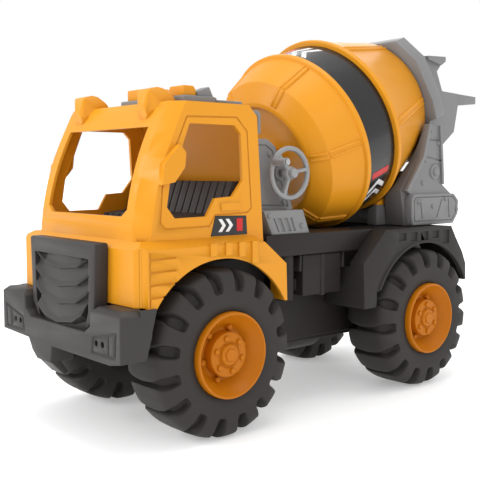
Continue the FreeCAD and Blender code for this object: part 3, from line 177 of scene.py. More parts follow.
def metal(name, colour, roughness=0.3):
    """Drawn wire: fine lines along the truck's width."""
    material = bpy.data.materials.new(name)
    material.use_nodes = True
    tree = material.node_tree
    shader = tree.nodes["Principled BSDF"]
    spot = add_node(tree, "ShaderNodeTexCoord").outputs["Object"]
    lines_place = add_node(tree, "ShaderNodeMapping", (), {
        "Vector": spot, "Scale": (80.0, 2600.0, 2600.0)}).outputs["Vector"]
    lines = add_node(tree, "ShaderNodeTexNoise", (), {
        "Vector": lines_place, "Scale": 1.0, "Detail": 3.0}).outputs["Fac"]
    rough = add_node(tree, "ShaderNodeMapRange", (), {
        "Value": lines, "To Min": roughness - 0.1, "To Max": roughness + 0.15})
    tree.links.new(rough.outputs["Result"], shader.inputs["Roughness"])
    bump = add_node(tree, "ShaderNodeBump", (), {
        "Strength": 0.1, "Distance": 0.00005, "Height": lines})
    tree.links.new(bump.outputs["Normal"], shader.inputs["Normal"])
    tint = add_node(tree, "ShaderNodeMix", {"data_type": "RGBA"}, {
        "Factor": lines, 6: shaded(colour, 0.85), 7: shaded(colour, 1.1)})
    tree.links.new(tint.outputs[2], shader.inputs["Base Color"])
    shader.inputs["Metallic"].default_value = 1.0
    return material


def floor_material():
    material = bpy.data.materials.new("floor_paper")
    material.use_nodes = True
    tree = material.node_tree
    shader = tree.nodes["Principled BSDF"]
    spot = add_node(tree, "ShaderNodeTexCoord").outputs["Object"]
    clouds = add_node(tree, "ShaderNodeTexNoise", (), {
        "Vector": spot, "Scale": 9.0, "Detail": 4.0}).outputs["Fac"]
    tint = add_node(tree, "ShaderNodeMix", {"data_type": "RGBA"}, {
        "Factor": clouds, 6: (0.80, 0.80, 0.80, 1), 7: (0.83, 0.83, 0.825, 1)})
    tree.links.new(tint.outputs[2], shader.inputs["Base Color"])
    shader.inputs["Roughness"].default_value = 0.85
    far = add_node(tree, "ShaderNodeVectorMath", {"operation": "LENGTH"}, {0: spot})
    glow = add_node(tree, "ShaderNodeMapRange", (), {
        "Value": far.outputs["Value"], "From Min": 0.35, "From Max": 2.0,
        "To Min": 0.3, "To Max": 0.62})
    shader.inputs["Emission Color"].default_value = (1, 1, 1, 1)
    tree.links.new(glow.outputs["Result"], shader.inputs["Emission Strength"])
    return material


YELLOW = (0.65, 0.262, 0.009)
MATERIALS = {
    "yellow_plastic": plastic("yellow_plastic", YELLOW, 0.38, 0.3),
    "rim_yellow": plastic("rim_yellow", (0.45, 0.138, 0.002), 0.36, 0.3, gloss=0.16),
    "tyre_rubber": plastic("tyre_rubber", (0.031, 0.028, 0.026), 0.55, 0.35, 0.2, 0.08,
                           edge=0.6, gloss=0.2),
    "chassis_plastic": plastic("chassis_plastic", (0.016, 0.013, 0.012), 0.5, 0.3, 0.15),
    "fender_plastic": plastic("fender_plastic", (0.027, 0.024, 0.023), 0.5, 0.35, 0.15,
                              gloss=0.2),
    "bumper_plastic": plastic("bumper_plastic", (0.036, 0.033, 0.032), 0.46, 0.5, 0.15),
    "light_grey_plastic": plastic("light_grey_plastic", (0.19, 0.19, 0.192), 0.4, 0.45),
    "satin_grey_plastic": plastic("satin_grey_plastic", (0.25, 0.255, 0.26), 0.3, 0.3, coat=0.3),
    # a darker copy of the side plates' grey: painted shade from under the drum
    "pedestal_plastic": plastic("pedestal_plastic", (0.125, 0.120, 0.119), 0.46, 0.35),
    "black_label": plastic("black_label", (0.008, 0.008, 0.008), 0.25, 0.1, 0.03, coat=0.3),
    "steel": metal("steel", (0.42, 0.42, 0.42)),
    "nylon": plastic("nylon", (0.6, 0.59, 0.55), 0.45, 0.1),
}
WHITE_INK = plastic("white_ink", (0.74, 0.74, 0.74), 0.3, 0.1, 0.03)
RED_INK = plastic("red_ink", (0.52, 0.02, 0.02), 0.3, 0.1, 0.03)


# ---------------------------------------------------------------- mesh helpers
# widths tried for a rounded edge, as shares of the wanted one, and how far a corner may stray
ROUNDING_SHARES = (1.0, 0.6, 0.35)
MOST_STRAY = 0.75


def make_object(name, mesh_maker, material, smooth=35):
    mesh = bpy.data.meshes.new(name)
    mesh_maker.to_mesh(mesh)
    mesh_maker.free()
    mesh.materials.append(material)
    mesh.shade_smooth()
    mesh.set_sharp_from_angle(angle=math.radians(smooth))
    thing = bpy.data.objects.new(name, mesh)
    bpy.context.scene.collection.objects.link(thing)
    return thing


def settle(thing, body, slot, *nodes):
    """Gives a finished piece its body and hides the nodes that it stands for; the slot is not used."""
    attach(thing, body)
    if nodes:
        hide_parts(*nodes)
    return thing


def round_edges(maker, width, angle=30, steps=2):
    """Rounds every edge sharper than the angle, apart from those by very short edges."""
    short = {corner for edge in maker.edges if edge.calc_length() < 1.3 * width * MM
             for corner in edge.verts}
    sharp = [edge for edge in maker.edges
             if len(edge.link_faces) == 2 and edge.calc_face_angle() > math.radians(angle)
             and not short & set(edge.verts)]
    bmesh.ops.bevel(maker, geom=sharp, offset=width * MM, offset_type="OFFSET", segments=steps,
                    profile=0.5, affect="EDGES", clamp_overlap=False)
    bmesh.ops.remove_doubles(maker, verts=maker.verts, dist=2e-6)
    bmesh.ops.recalc_face_normals(maker, faces=maker.faces)


def cad_mesh(node):
    """A node's own mesh with its flat faces joined."""
    maker = bmesh.new()
    maker.from_mesh(frame["nodes"][node].data)
    bmesh.ops.remove_doubles(maker, verts=maker.verts, dist=3e-6)
    bmesh.ops.dissolve_limit(maker, angle_limit=math.radians(0.8), verts=maker.verts,
                             edges=maker.edges)
    bmesh.ops.recalc_face_normals(maker, faces=maker.faces)
    return maker


def moulded(node, width):
    """The node again, with the rounded edges that a mould leaves.

    A rounding that pushes a corner off the node's own skin is tried again narrower, and a width
    of 0 keeps the edges sharp.
    """
    maker = cad_mesh(node)
    skin = BVHTree.FromBMesh(maker)
    for share in ROUNDING_SHARES if width else ():
        trial = maker.copy()
        round_edges(trial, width * share)
        stray = max(skin.find_nearest(corner.co)[3] for corner in trial.verts)
        if stray < MOST_STRAY * width * share * MM:
            maker.free()
            maker = trial
            break
        trial.free()
    thing = make_object(node + "_moulded", maker, MATERIALS[SLOT_OF[node]])
    return settle(thing, BODY_OF[node], SLOT_OF[node], node)


def lathe(name, outline, centre, axis, material, steps=96):
    """Closed ring or disc: (radius, station) points in mm turned about an axis."""
    axis = Vector(axis).normalized()
    side = axis.orthogonal().normalized()
    third = axis.cross(side)
    maker = bmesh.new()
    rows = []
    for radius, station in outline:
        base = centre + axis * station * MM
        if radius < 1e-6:
            rows.append([maker.verts.new(base)])
            continue
        rows.append([maker.verts.new(base + radius * MM * (
            side * math.cos(2 * math.pi * k / steps) + third * math.sin(2 * math.pi * k / steps)))
            for k in range(steps)])
    closed = len(rows[0]) > 1 and len(rows[-1]) > 1
    pairs = list(zip(rows, rows[1:])) + ([(rows[-1], rows[0])] if closed else [])
    for low, high in pairs:
        for k in range(steps):
            corners = [low[k % len(low)], low[(k + 1) % len(low)],
                       high[(k + 1) % len(high)], high[k % len(high)]]
            unique = list(dict.fromkeys(corners))
            if len(unique) > 2:
                maker.faces.new(unique)
    bmesh.ops.recalc_face_normals(maker, faces=maker.faces)
    return make_object(name, maker, material)


def slab(outline, axis, low, high):
    """Mesh of an outline in mm, pushed along x, y or z from low to high."""
    maker = bmesh.new()
    first, second = AXIS_PAIRS[axis]
    rows = []
    for level in (low, high):
        row = []
        for a, b in outline:
            spot = [0.0, 0.0, 0.0]
            spot["xyz".index(axis)] = level
            spot[first] = a
            spot[second] = b
            row.append(maker.verts.new(place(*spot)))
        rows.append(row)
    maker.faces.new(rows[0])
    maker.faces.new(rows[1][::-1])
    for k in range(len(outline)):
        j = (k + 1) % len(outline)
        maker.faces.new([rows[0][k], rows[1][k], rows[1][j], rows[0][j]])
    bmesh.ops.recalc_face_normals(maker, faces=maker.faces)
    return maker


def joined(makers):
    """One mesh out of several, each of them closed."""
    whole = bmesh.new()
    for maker in makers:
        part = bpy.data.meshes.new("part")
        maker.to_mesh(part)
        maker.free()
        whole.from_mesh(part)
        bpy.data.meshes.remove(part)
    return whole


def carve(thing, *makers):
    """Cuts meshes out of a finished piece."""
    tool = make_object("carving_tool", joined(makers), thing.data.materials[0])
    cut = thing.modifiers.new("cut", "BOOLEAN")
    cut.operation = "DIFFERENCE"
    cut.solver = "EXACT"
    cut.use_self = True
    cut.object = tool
    bpy.context.view_layer.update()
    result = bpy.data.meshes.new_from_object(
        thing.evaluated_get(bpy.context.evaluated_depsgraph_get()))
    thing.modifiers.remove(cut)
    thing.data = result
    bpy.data.objects.remove(tool)
    result.shade_smooth()
    result.set_sharp_from_angle(angle=math.radians(35))


def inset(outline, distance):
    """The outline moved inward by a distance, corner by corner."""
    points = [Vector(p) for p in outline]
    area = sum(a.x * b.y - b.x * a.y for a, b in zip(points, points[1:] + points[:1]))
    turn = 1 if area > 0 else -1
    moved = []
    for before, here, after in zip(points[-1:] + points[:-1], points, points[1:] + points[:1]):
        first = (here - before).normalized()
        second = (after - here).normalized()
        normal = Vector((-first.y - second.y, first.x + second.x)) * turn
        normal.normalize()
        across = Vector((-first.y, first.x)) * turn
        moved.append(here + normal * distance / max(0.4, normal.dot(across)))
    return [tuple(p) for p in moved]


def groove_ring(outline, width, axis, low, high):
    """Mesh of a band that follows a closed outline."""
    outer = inset(outline, -width / 2)
    inner = inset(outline, width / 2)
    maker = bmesh.new()
    first, second = AXIS_PAIRS[axis]
    rings = []
    for level in (low, high):
        for loop in (outer, inner):
            ring = []
            for a, b in loop:
                spot = [0.0, 0.0, 0.0]
                spot["xyz".index(axis)] = level
                spot[first] = a
                spot[second] = b
                ring.append(maker.verts.new(place(*spot)))
            rings.append(ring)
    for near, far in ((0, 1), (1, 3), (3, 2), (2, 0)):
        for k in range(len(outline)):
            j = (k + 1) % len(outline)
            maker.faces.new([rings[near][k], rings[near][j], rings[far][j], rings[far][k]])
    bmesh.ops.recalc_face_normals(maker, faces=maker.faces)
    return maker


def strip(start, end, width, axis, low, high):
    """Mesh of a straight band between two points of a plane square to an axis."""
    start = Vector(start)
    end = Vector(end)
    along = (end - start).normalized()
    side = Vector((-along.y, along.x)) * width / 2
    corners = [start - side, start + side, end + side, end - side]
    return slab([tuple(c) for c in corners], axis, low, high)


# ---------------------------------------------------------------- wheels
LUGS = 16
TYRE_MIDDLE = 60.15
# tread to bead: radius, distance from the tyre's middle, slot's share of the pitch, and where
# the slot's floor lies
TYRE_ROWS = [
    (55.0, 0.0, 0.17, 50.4, 0.0), (55.0, 6.5, 0.18, 50.4, 5.6), (54.7, 12.4, 0.25, 49.8, 10.4),
    (54.0, 15.2, 0.34, 48.6, 12.2), (52.6, 17.6, 0.41, 46.4, 13.6), (50.6, 19.3, 0.43, 44.8, 14.4),
    (47.4, 20.6, 0.44, 43.2, 15.0), (44.2, 21.1, 0.44, 42.0, 15.6), (42.4, 21.25, 0.42, 41.0, 16.6),
    (41.2, 21.3, 0.36, 40.8, 20.4), (40.6, 21.3, 0.32, 40.6, 21.3), (37.5, 21.3, 0.3, 37.5, 21.3),
    (34.0, 21.1, 0.3, 34.0, 21.1), (31.2, 20.7, 0.3, 31.2, 20.7), (29.8, 20.0, 0.3, 29.8, 20.0),
    (28.4, 19.6, 0.3, 28.4, 19.6), (28.2, 18.6, 0.3, 28.2, 18.6), (28.2, 9.0, 0.3, 28.2, 9.0),
]


def tyre(name, axle, side, slot_angle):
    """Closed skin of rows across and columns around, with a slot between every two lugs."""
    rows = [(r, -a, s, fr, -fa) for r, a, s, fr, fa in TYRE_ROWS[:0:-1]] + TYRE_ROWS
    pitch = 2 * math.pi / LUGS
    maker = bmesh.new()
    grid = []
    for radius, across, share, floor_radius, floor_across in rows:
        half = share / 2
        columns = [(-half - 0.03, 0.0), (-half, 0.07), (-half + 0.04, 0.95), (0.0, 1.0),
                   (half - 0.04, 0.95), (half, 0.07), (half + 0.03, 0.0)]
        spare = 1 - 2 * (half + 0.03)
        columns += [(half + 0.03 + spare * t, 0.0) for t in (0.1, 0.3, 0.5, 0.7, 0.9)]
        chevron = 0.06 * max(0.0, 1 - abs(across) / 17)
        ring = []
        for lug in range(LUGS):
            for column, depth in columns:
                angle = slot_angle + pitch * (lug + column + chevron)
                reach = radius + (floor_radius - radius) * depth
                width = across + (floor_across - across) * depth
                ring.append(maker.verts.new((
                    side * (TYRE_MIDDLE + width) * MM,
                    axle.y + reach * MM * math.cos(angle),
                    axle.z + reach * MM * math.sin(angle))))
        grid.append(ring)
    count = len(grid[0])
    for low, high in zip(grid, grid[1:] + grid[:1]):
        for k in range(count):
            j = (k + 1) % count
            maker.faces.new([low[k], low[j], high[j], high[k]])
    bmesh.ops.recalc_face_normals(maker, faces=maker.faces)
    return make_object(name, maker, MATERIALS["tyre_rubber"], 50)


# Outlines turned about an axis are (radius, distance along the axis).
RIM_OUTLINE = [
    (2.6, 39.2), (8.0, 39.2), (8.0, 66.0), (18.2, 69.4), (25.2, 78.0), (25.6, 78.6),
    (25.6, 41.4), (26.4, 41.0), (28.0, 41.0), (28.0, 80.4), (27.9, 82.8), (27.6, 83.7),
    (27.1, 84.15), (26.6, 84.2), (26.2, 84.0), (25.9, 83.4), (25.2, 82.2), (18.4, 72.4),
    (17.6, 71.8), (16.6, 71.5), (15.1, 71.5), (14.7, 71.9), (14.6, 78.4), (14.4, 79.0),
    (13.9, 79.3), (8.9, 79.3), (8.5, 79.0), (8.2, 78.5), (7.5, 78.4), (7.2, 78.7), (6.9, 80.2),
    (6.5, 80.8), (5.9, 81.0), (2.6, 81.0),
]


def rim(name, axle, side, slot_angle):
    base = Vector((0, axle.y, axle.z))
    axis = Vector((side, 0, 0))
    pieces = [lathe(name, RIM_OUTLINE, base, axis, MATERIALS["rim_yellow"])]
    for k in range(6):
        angle = slot_angle + math.pi * (k + 0.5) / 3
        out = Vector((0, math.cos(angle), math.sin(angle)))
        pieces.append(lathe(f"{name}_bolt_{k}", [
            (0, 78.8), (1.95, 78.8), (1.95, 80.3), (1.7, 80.8), (1.2, 81.0), (0, 81.0),
        ], base + out * 10.9 * MM, axis, MATERIALS["rim_yellow"], 20))
        between = angle + math.pi / 6
        out = Vector((0, math.cos(between), math.sin(between)))
        pieces.append(lathe(f"{name}_stud_{k}", [
            (0, 69.5), (2.1, 69.5), (2.1, 74.0), (1.8, 74.6), (1.2, 74.9), (0, 74.95),
        ], base + out * 17.2 * MM, axis, MATERIALS["rim_yellow"], 20))
    pieces.append(lathe(f"{name}_nut", [
        (0, 80.4), (4.6, 80.4), (4.6, 81.4), (4.1, 82.0), (0, 82.1),
    ], base, axis, MATERIALS["rim_yellow"], 6))
    return pieces


def make_wheels():
    for end, axle, body in (("front", FRONT_AXLE, "front_wheels"),
                            ("rear", REAR_AXLE, "rear_wheels")):
        for side, sign in (("left", 1), ("right", -1)):
            angle = math.radians(12.9 if end == "front" else 4.0)
            skin = tyre(f"{end}_{side}_tyre_skin", axle, sign, angle)
            settle(skin, body, "tyre_rubber", f"{end}_{side}_tyre")
            pieces = rim(f"{end}_{side}_rim_dish", axle, sign, angle)
            for piece in pieces:
                settle(piece, body, "rim_yellow")
            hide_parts(f"{end}_{side}_rim")


# ---------------------------------------------------------------- drum
DRUM_ACROSS = Vector((1, 0, 0))
DRUM_UP = DRUM_AXIS.cross(DRUM_ACROSS) * -1
BELT_MIDDLE = 16.5
BELT_RADIUS = 69.9
FRONT_SHELL = [
    (0, -30), (8, -30), (14, -29), (41.6, -36.0), (42.2, -36.6), (42.6, -38.4), (43.2, -39.1),
    (46.3, -39.1), (46.9, -38.7), (60.6, -30.9), (70.2, -4.8), (72.0, -4.4), (72.7, -4.0),
    (73, -3.3), (73, -0.5), (72.6, -0.1), (72.2, 0), (69.2, 0), (69.2, 16.5), (66.8, 16.5),
    (66.8, -4), (58.6, -28.6), (44, -33.2), (14, -26), (0, -26),
]
REAR_SHELL = [
    (69.2, 16.6), (69.2, 33.1), (73.0, 33.1), (73.5, 33.3), (73.8, 33.8), (73.8, 36.2),
    (73.5, 37.0), (71.8, 38.1), (71.2, 39.0), (54.2, 96.6), (53.4, 97.3), (45.9, 97.3),
    (45.9, 102.0), (42.6, 102.0), (42.6, 95.3), (66.8, 39.1), (66.8, 16.6),
]
RIB_SECTION = [(-3.0, -0.6), (-2.6, 1.1), (-2.2, 1.4), (-1.5, 1.4), (-1.1, 1.1), (-0.8, 0.5),
               (0.8, 0.5), (1.1, 1.1), (1.5, 1.4), (2.2, 1.4), (2.6, 1.1), (3.0, -0.6)]


def on_drum(radius, station, angle):
    """Point at a radius (mm) and an angle from +X about the drum's axis."""
    out = DRUM_ACROSS * math.cos(angle) + DRUM_UP * math.sin(angle)
    return DRUM_PLACE + DRUM_AXIS * station * MM + out * radius * MM


def drum_rib(name, start, end, angle):
    """Double-lined rib laid along the cone between two (radius, station) points."""
    along = Vector(end) - Vector(start)
    along.normalize()
    normal = Vector((along.y, -along.x)) * (1 if along.y > 0 else -1)
    around = DRUM_UP * math.cos(angle) - DRUM_ACROSS * math.sin(angle)
    maker = bmesh.new()
    loops = []
    for (radius, station), rise in ((start, 0.35), (end, 0.35)):
        for push, height in ((0.0, rise), (1.2, 1.0)):
            inward = push if (radius, station) == start else -push
            spot = Vector((radius, station)) + along * inward
            loops.append([maker.verts.new(
                on_drum(spot.x + normal.x * lift * height, spot.y + normal.y * lift * height, angle)
                + around * across * MM) for across, lift in RIB_SECTION])
    order = [loops[0], loops[1], loops[3], loops[2]]
    for near, far in zip(order, order[1:]):
        for k in range(len(near)):
            j = (k + 1) % len(near)
            maker.faces.new([near[k], near[j], far[j], far[k]])
    maker.faces.new(order[0])
    maker.faces.new(order[-1])
    bmesh.ops.recalc_face_normals(maker, faces=maker.faces)
    return make_object(name, maker, MATERIALS["yellow_plastic"], 40)


def decal(name, outline, angle, station, material, lift=0.12):
    """Printed mark bent round the belt; outline in mm along the belt and across it."""
    maker = bmesh.new()
    maker.faces.new([maker.verts.new((a, b, 0)) for a, b in outline])
    low = min(a for a, _ in outline)
    high = max(a for a, _ in outline)
    for k in range(1, int((high - low) / 2)):
        bmesh.ops.bisect_plane(maker, geom=maker.verts[:] + maker.edges[:] + maker.faces[:],
                               plane_co=(low + 2 * k, 0, 0), plane_no=(1, 0, 0))
    grown = bmesh.ops.extrude_face_region(maker, geom=maker.faces[:])["geom"]
    for corner in grown:
        if isinstance(corner, bmesh.types.BMVert):
            corner.co.z = 1
    bmesh.ops.recalc_face_normals(maker, faces=maker.faces)
    for corner in maker.verts:
        radius = BELT_RADIUS - 0.1 + (lift + 0.1) * corner.co.z
        turn = angle + corner.co.x / BELT_RADIUS
        corner.co = on_drum(radius, station + corner.co.y, turn)
    return settle(make_object(name, maker, material), "drum", "black_label")


def chevron(at, width, reach, thick):
    """Outline of an arrow-like band that starts at a distance along the belt."""
    half = width / 2
    return [(at, -half), (at + thick, -half), (at + thick + reach, 0), (at + thick, half),
            (at, half), (at + reach, 0)]


def make_drum():
    yellow = MATERIALS["yellow_plastic"]
    front = lathe("drum_front_skin", FRONT_SHELL, DRUM_PLACE, DRUM_AXIS, yellow, 144)
    settle(front, "drum", "yellow_plastic", "drum_front_shell")
    rear = lathe("drum_rear_skin", REAR_SHELL, DRUM_PLACE, DRUM_AXIS, yellow, 144)
    settle(rear, "drum", "yellow_plastic", "drum_rear_shell")
    for k in range(6):
        angle = k * math.pi / 3
        for name, start, end in (("front_a", (47.6, -38.3), (60.4, -31.0)),
                                 ("front_b", (60.8, -30.4), (70.0, -5.4)),
                                 ("rear", (71.0, 39.6), (54.6, 95.4))):
            rib = drum_rib(f"drum_rib_{name}_{k}", start, end, angle)
            settle(rib, "drum", "yellow_plastic")
    belt = lathe("drum_belt_band", [
        (69.3, 0.05), (69.7, 0.05), (69.9, 0.25), (69.9, 32.85), (69.7, 33.05), (69.3, 33.05),
    ], DRUM_PLACE, DRUM_AXIS, MATERIALS["black_label"], 144)
    settle(belt, "drum", "black_label", "drum_belt")
    for k in range(3):
        angle = math.radians(-38 + 120 * k)
        decal(f"drum_mark_first_{k}", chevron(-16, 20, 8, 5), angle, BELT_MIDDLE, WHITE_INK)
        decal(f"drum_mark_second_{k}", chevron(-6, 20, 8, 5), angle, BELT_MIDDLE, WHITE_INK)
        decal(f"drum_mark_bar_{k}", [(10, -10), (16, -10), (16, 10), (10, 10)], angle, BELT_MIDDLE,
              RED_INK)


# ---------------------------------------------------------------- grille
# columns: share of the half width, how far back, how far up
GRILLE_COLUMNS = [(-1.0, 5.6, 9.5), (-0.62, 2.7, 2.6), (0.0, 0.0, 0.0), (0.62, 2.7, 2.6),
                  (1.0, 5.6, 9.5)]
# blades: height and y of the ridge, half width
GRILLE_BLADES = [(110.4, -75.2, 35.8), (98.9, -76.0, 35.4), (87.7, -76.8, 34.6),
                 (75.8, -77.6, 29.4)]
GRILLE_TOP = 119.0
GRILLE_FOOT = 72.2
GRILLE_BACK = -68.0


def make_grille():
    """Frame and, inside it, blades whose two halves meet in a ridge."""
    material = MATERIALS["bumper_plastic"]
    outer = [(-43, 128), (43, 128), (41, 84), (33, 74.2), (-33, 74.2), (-41, 84)]
    frame_mesh = slab(outer, "y", -75.6, -65.4)
    round_edges(frame_mesh, 1.6)
    border = make_object("grille_frame", frame_mesh, material)
    carve(border, slab([(-35.6, 118), (35.6, 118), (34.6, 86), (28.4, 70), (-28.4, 70),
                        (-34.6, 86)], "y", -78, -68.5))
    settle(border, "truck", "bumper_plastic", "grille")
    levels = [(GRILLE_TOP, -75.2, 36.2, 1.0)]
    for z, y, half in GRILLE_BLADES:
        levels += [(z + 1.9, y, half, 0.5), (z - 1.1, y - 1.7, half, 0.25),
                   (z - 2.0, y - 0.8, half, 1.0)]
    levels.append((GRILLE_FOOT, -78.4, 28.0, 1.0))
    field = bmesh.new()
    rows = []
    for z, y, half, depth in levels:
        level = min(1.0, max(0.0, (z - GRILLE_FOOT) / 3))
        fade = min(1.0, (GRILLE_TOP - z) / 9)
        rows.append([field.verts.new(place(part * half, y + back * depth, z + rise * level * fade))
                     for part, back, rise in GRILLE_COLUMNS])
    backs = [[field.verts.new(place(part * half, GRILLE_BACK, z)) for part, _, _ in GRILLE_COLUMNS]
             for z, _, half, _ in (levels[0], levels[-1])]
    sheet = [backs[0]] + rows + [backs[1]]
    for low, high in zip(sheet, sheet[1:] + sheet[:1]):
        for k in range(len(low) - 1):
            field.faces.new([low[k], low[k + 1], high[k + 1], high[k]])
    for side in (0, -1):
        field.faces.new([row[side] for row in sheet])
    bmesh.ops.recalc_face_normals(field, faces=field.faces)
    settle(make_object("grille_field", field, material, 12), "truck", "bumper_plastic")


# ---------------------------------------------------------------- moulded nodes
EDGE_WIDTHS = {
    "cab_shell": 0.0, "cab_floor": 0.5, "seat_bench": 0.4, "dash": 0.6, "bumper": 0.8,
    "chassis": 0.8, "belly_cover": 0.5, "left_side_tank": 0.7, "right_side_tank": 0.7,
    "left_rear_fender": 0.6, "right_rear_fender": 0.6, "roof_console": 0.7,
    "roof_box_centre": 0.7, "roof_box_side": 0.7, "roof_horn": 0.5, "cab_rear_hook": 0.5,
    "gear_tower": 0.7, "gear_housing": 0.5, "tower_cover": 0.6, "left_step_panel": 0.4,
    "right_step_panel": 0.4, "rear_pedestal": 0.6, "left_side_plate": 0.5,
    "right_side_plate": 0.5, "drum_rests": 0.5, "drum_collar": 0.6, "hopper": 0.6,
    "discharge_chute": 0.6,
}


def make_moulded():
    return {node: moulded(node, width) for node, width in EDGE_WIDTHS.items()}


DOOR_OUTLINE = [(-23.3, 205.4), (16.8, 206.4), (25.6, 197.7), (29.4, 147.3), (26, 144.6),
                (-1.3, 143.7), (-5.9, 136.7), (-40.2, 136.4), (-43.8, 140), (-42.1, 162.1),
                (-31.4, 188)]
LOUVRE_HEIGHTS = (96.4, 104.0, 111.6, 119.2)
RIVET_SPOTS = [(232.6, 205.9), (242.5, 195), (225.6, 181.2), (222.3, 162.1), (213.8, 147.2),
               (232.5, 143), (250, 148.8), (266, 139.5)]


def stud(name, side, spot, low, high, radius, slot, body="truck", steps=20):
    """Low round boss that stands out of a side wall."""
    rise = high - low
    thing = lathe(name, [(0, low), (radius, low), (radius, low + 0.5 * rise),
                         (0.75 * radius, high - 0.08 * rise), (0.4 * radius, high), (0, high)],
                  place(0, *spot), (side, 0, 0), MATERIALS[slot], steps)
    return settle(thing, body, slot)


def detail_cab(cab):
    """Door grooves, and louvres ahead of the wheel arches."""
    for side in (1, -1):
        wall = sorted((side * 66.3, side * 70))
        sill = sorted((side * 75.1, side * 78))
        tools = [groove_ring(DOOR_OUTLINE, 0.9, "x", *wall)]
        for z in LOUVRE_HEIGHTS:
            tools.append(strip((-57.6, z), (-38.4, z + 0.4), 1.2, "x", *sill))
        tools.append(strip((-57.6, 91.0), (-57.6, 123.4), 1.0, "x", *sill))
        carve(cab, *tools)


def close_corners():
    """Cheeks of the bumper by the tyres, and strips that close the cab's moulded corners."""
    for name, side in (("left", 1), ("right", -1)):
        cheek = slab([(-66, 77), (-57.6, 77), (-54.2, 90.2), (-66, 90.2)], "x",
                     *sorted((side * 76.15, side * 77.95)))
        settle(make_object(f"{name}_bumper_cheek", cheek, MATERIALS["bumper_plastic"]),
               "truck", "bumper_plastic")
        sill = slab([(side * 74.15, -61.05), (side * 71.65, -63.55), (side * 69.6, -61.5),
                     (side * 72.1, -59.0)], "z", 90.8, 125.5)
        settle(make_object(f"{name}_sill_corner", sill, MATERIALS["yellow_plastic"]),
               "truck", "yellow_plastic")
        corner = slab([(side * 65.4, -52.1), (side * 60.3, -57.2), (side * 58.4, -55.3),
                       (side * 63.5, -50.2)], "z", 128.0, 131.6)
        settle(make_object(f"{name}_cab_corner", corner, MATERIALS["yellow_plastic"]),
               "truck", "yellow_plastic")


def detail_bumper(bumper):
    """The ends follow the tyres' curve below."""
    for side in (1, -1):
        carve(bumper, slab([(-57.0, 77.0), (-57.0, 54.0), (-64.0, 54.0)], "x",
                           *sorted((side * 66, side * 79))))


def detail_side_plates():
    grey = "light_grey_plastic"
    for name, side in (("left", 1), ("right", -1)):
        for k, spot in enumerate(RIVET_SPOTS):
            low = 62.6 if spot[1] < 153 else 59.8
            stud(f"{name}_plate_rivet_{k}", side, spot, low, low + 1.6, 1.9, grey)
        stud(f"{name}_plate_boss_cap", side, (237.7, 171.3), 61.4, 63.2, 3.4, grey)
        plate = moulded_pieces[name + "_side_plate"]
        wall = sorted((side * 59.3, side * 62))
        block = sorted((side * 62.2, side * 66))
        carve(plate, strip((228, 197.9), (242.9, 197.2), 1.0, "x", *wall),
              strip((227.8, 183.6), (247, 180.5), 1.0, "x", *wall),
              groove_ring([(209, 131), (208.2, 148), (211, 150.6), (260.6, 150.6), (265.4, 146),
                           (264.8, 136.6), (259.6, 131)], 0.9, "x", *block),
              strip((219, 133), (216, 148.6), 1.2, "x", *block),
              strip((238, 133), (245, 148.6), 1.2, "x", *block),
              strip((254, 148.6), (256, 133), 1.2, "x", *block))


def detail_tower():
    """Panel line and screws on the tower, and two rivets on each step panel."""
    grey = "light_grey_plastic"
    tower = moulded_pieces["gear_tower"]
    for name, side in (("left", 1), ("right", -1)):
        wall = sorted((side * 42.3, side * 45))
        carve(tower, groove_ring([(49, 148), (49, 190), (64, 190), (70, 186.5), (86, 146.5)], 0.8,
                                 "x", *wall))
        for k, spot in enumerate(((52, 186.8), (52.4, 151.5), (67.5, 184), (82, 149.5))):
            stud(f"{name}_tower_screw_{k}", side, spot, 42.8, 43.9, 1.9, grey)
        stud(f"{name}_step_rivet", side, (51.8, 141), 59.8, 61.2, 1.8, grey)
        stud(f"{name}_step_rivet_low", side, (83.4, 133), 59.8, 61.2, 1.8, grey)


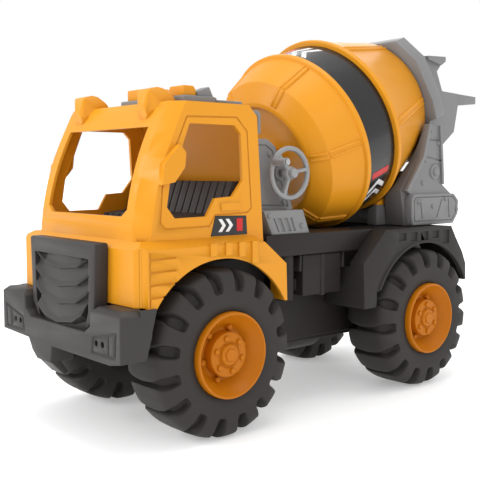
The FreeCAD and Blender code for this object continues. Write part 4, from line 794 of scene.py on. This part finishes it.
def make_hand_wheel():
    """Round-rimmed wheel with a hub cap, in place of the plain one."""
    grey = MATERIALS["satin_grey_plastic"]
    ring = [(17.6 + 1.9 * math.cos(t * math.pi / 6), 53.0 + 1.9 * math.sin(t * math.pi / 6))
            for t in range(12)]
    rim_ring = lathe("hand_wheel_rim", ring + ring[:1], CRANK_PLACE, (1, 0, 0), grey, 72)
    settle(rim_ring, "crank", "satin_grey_plastic", "hand_wheel")
    hub = lathe("hand_wheel_hub", [
        (0, 50.0), (4.6, 50.0), (5.0, 50.4), (5.0, 54.0), (4.6, 54.8), (3.7, 55.4), (3.6, 57.6),
        (3.2, 58.5), (2.4, 59.0), (0, 59.0),
    ], CRANK_PLACE, (1, 0, 0), grey, 48)
    settle(hub, "crank", "satin_grey_plastic")
    for k, degrees in enumerate((10, 130, 250)):
        angle = math.radians(degrees)
        out = Vector((0, math.cos(angle), math.sin(angle)))
        across = Vector((0, -math.sin(angle), math.cos(angle)))
        maker = bmesh.new()
        loops = []
        for reach, half in ((3.0, 2.3), (9.0, 1.5), (16.6, 1.9)):
            corners = [(-half, 51.6), (half, 51.6), (half * 0.7, 54.4), (-half * 0.7, 54.4)]
            loops.append([maker.verts.new(CRANK_PLACE + out * reach * MM + across * a * MM
                                          + Vector((x * MM, 0, 0))) for a, x in corners])
        for near, far in zip(loops, loops[1:]):
            for c in range(4):
                j = (c + 1) % 4
                maker.faces.new([near[c], near[j], far[j], far[c]])
        maker.faces.new(loops[0])
        maker.faces.new(loops[-1])
        bmesh.ops.recalc_face_normals(maker, faces=maker.faces)
        round_edges(maker, 0.4, 25)
        spoke = make_object(f"hand_wheel_spoke_{k}", maker, grey)
        settle(spoke, "crank", "satin_grey_plastic")


def make_door_labels():
    """Black sheet with generic marks on each door."""
    for name, side in (("left", 1), ("right", -1)):
        flat = sorted((side * 67.0, side * 67.3))
        sheet = slab([(-1.3, 143.2), (24.8, 142.6), (25.6, 130.2), (-5.0, 130.2)], "x", *flat)
        label = make_object(f"{name}_door_sheet", sheet, MATERIALS["black_label"])
        settle(label, "truck", "black_label", f"{name}_door_label")
        ink = sorted((side * 67.1, side * 67.42))
        for k, at in enumerate((1.0, 7.0)):
            mark = slab([(at, 132.6), (at + 3, 132.6), (at + 6.4, 136.8), (at + 3, 141.0),
                         (at, 141.0), (at + 3.4, 136.8)], "x", *ink)
            settle(make_object(f"{name}_door_mark_{k}", mark, WHITE_INK), "truck", "black_label")
        bar = slab([(16.4, 132.6), (21.6, 132.6), (21.6, 141.0), (16.4, 141.0)], "x", *ink)
        settle(make_object(f"{name}_door_bar", bar, RED_INK), "truck", "black_label")


def paint_nodes():
    for name, node in frame["nodes"].items():
        node.data.materials.clear()
        node.data.materials.append(MATERIALS[SLOT_OF[name]])


add_camera()
add_studio()
paint_nodes()
make_wheels()
make_drum()
make_grille()
make_hand_wheel()
make_door_labels()
moulded_pieces = make_moulded()
detail_cab(moulded_pieces["cab_shell"])
detail_bumper(moulded_pieces["bumper"])
close_corners()
detail_side_plates()
detail_tower()
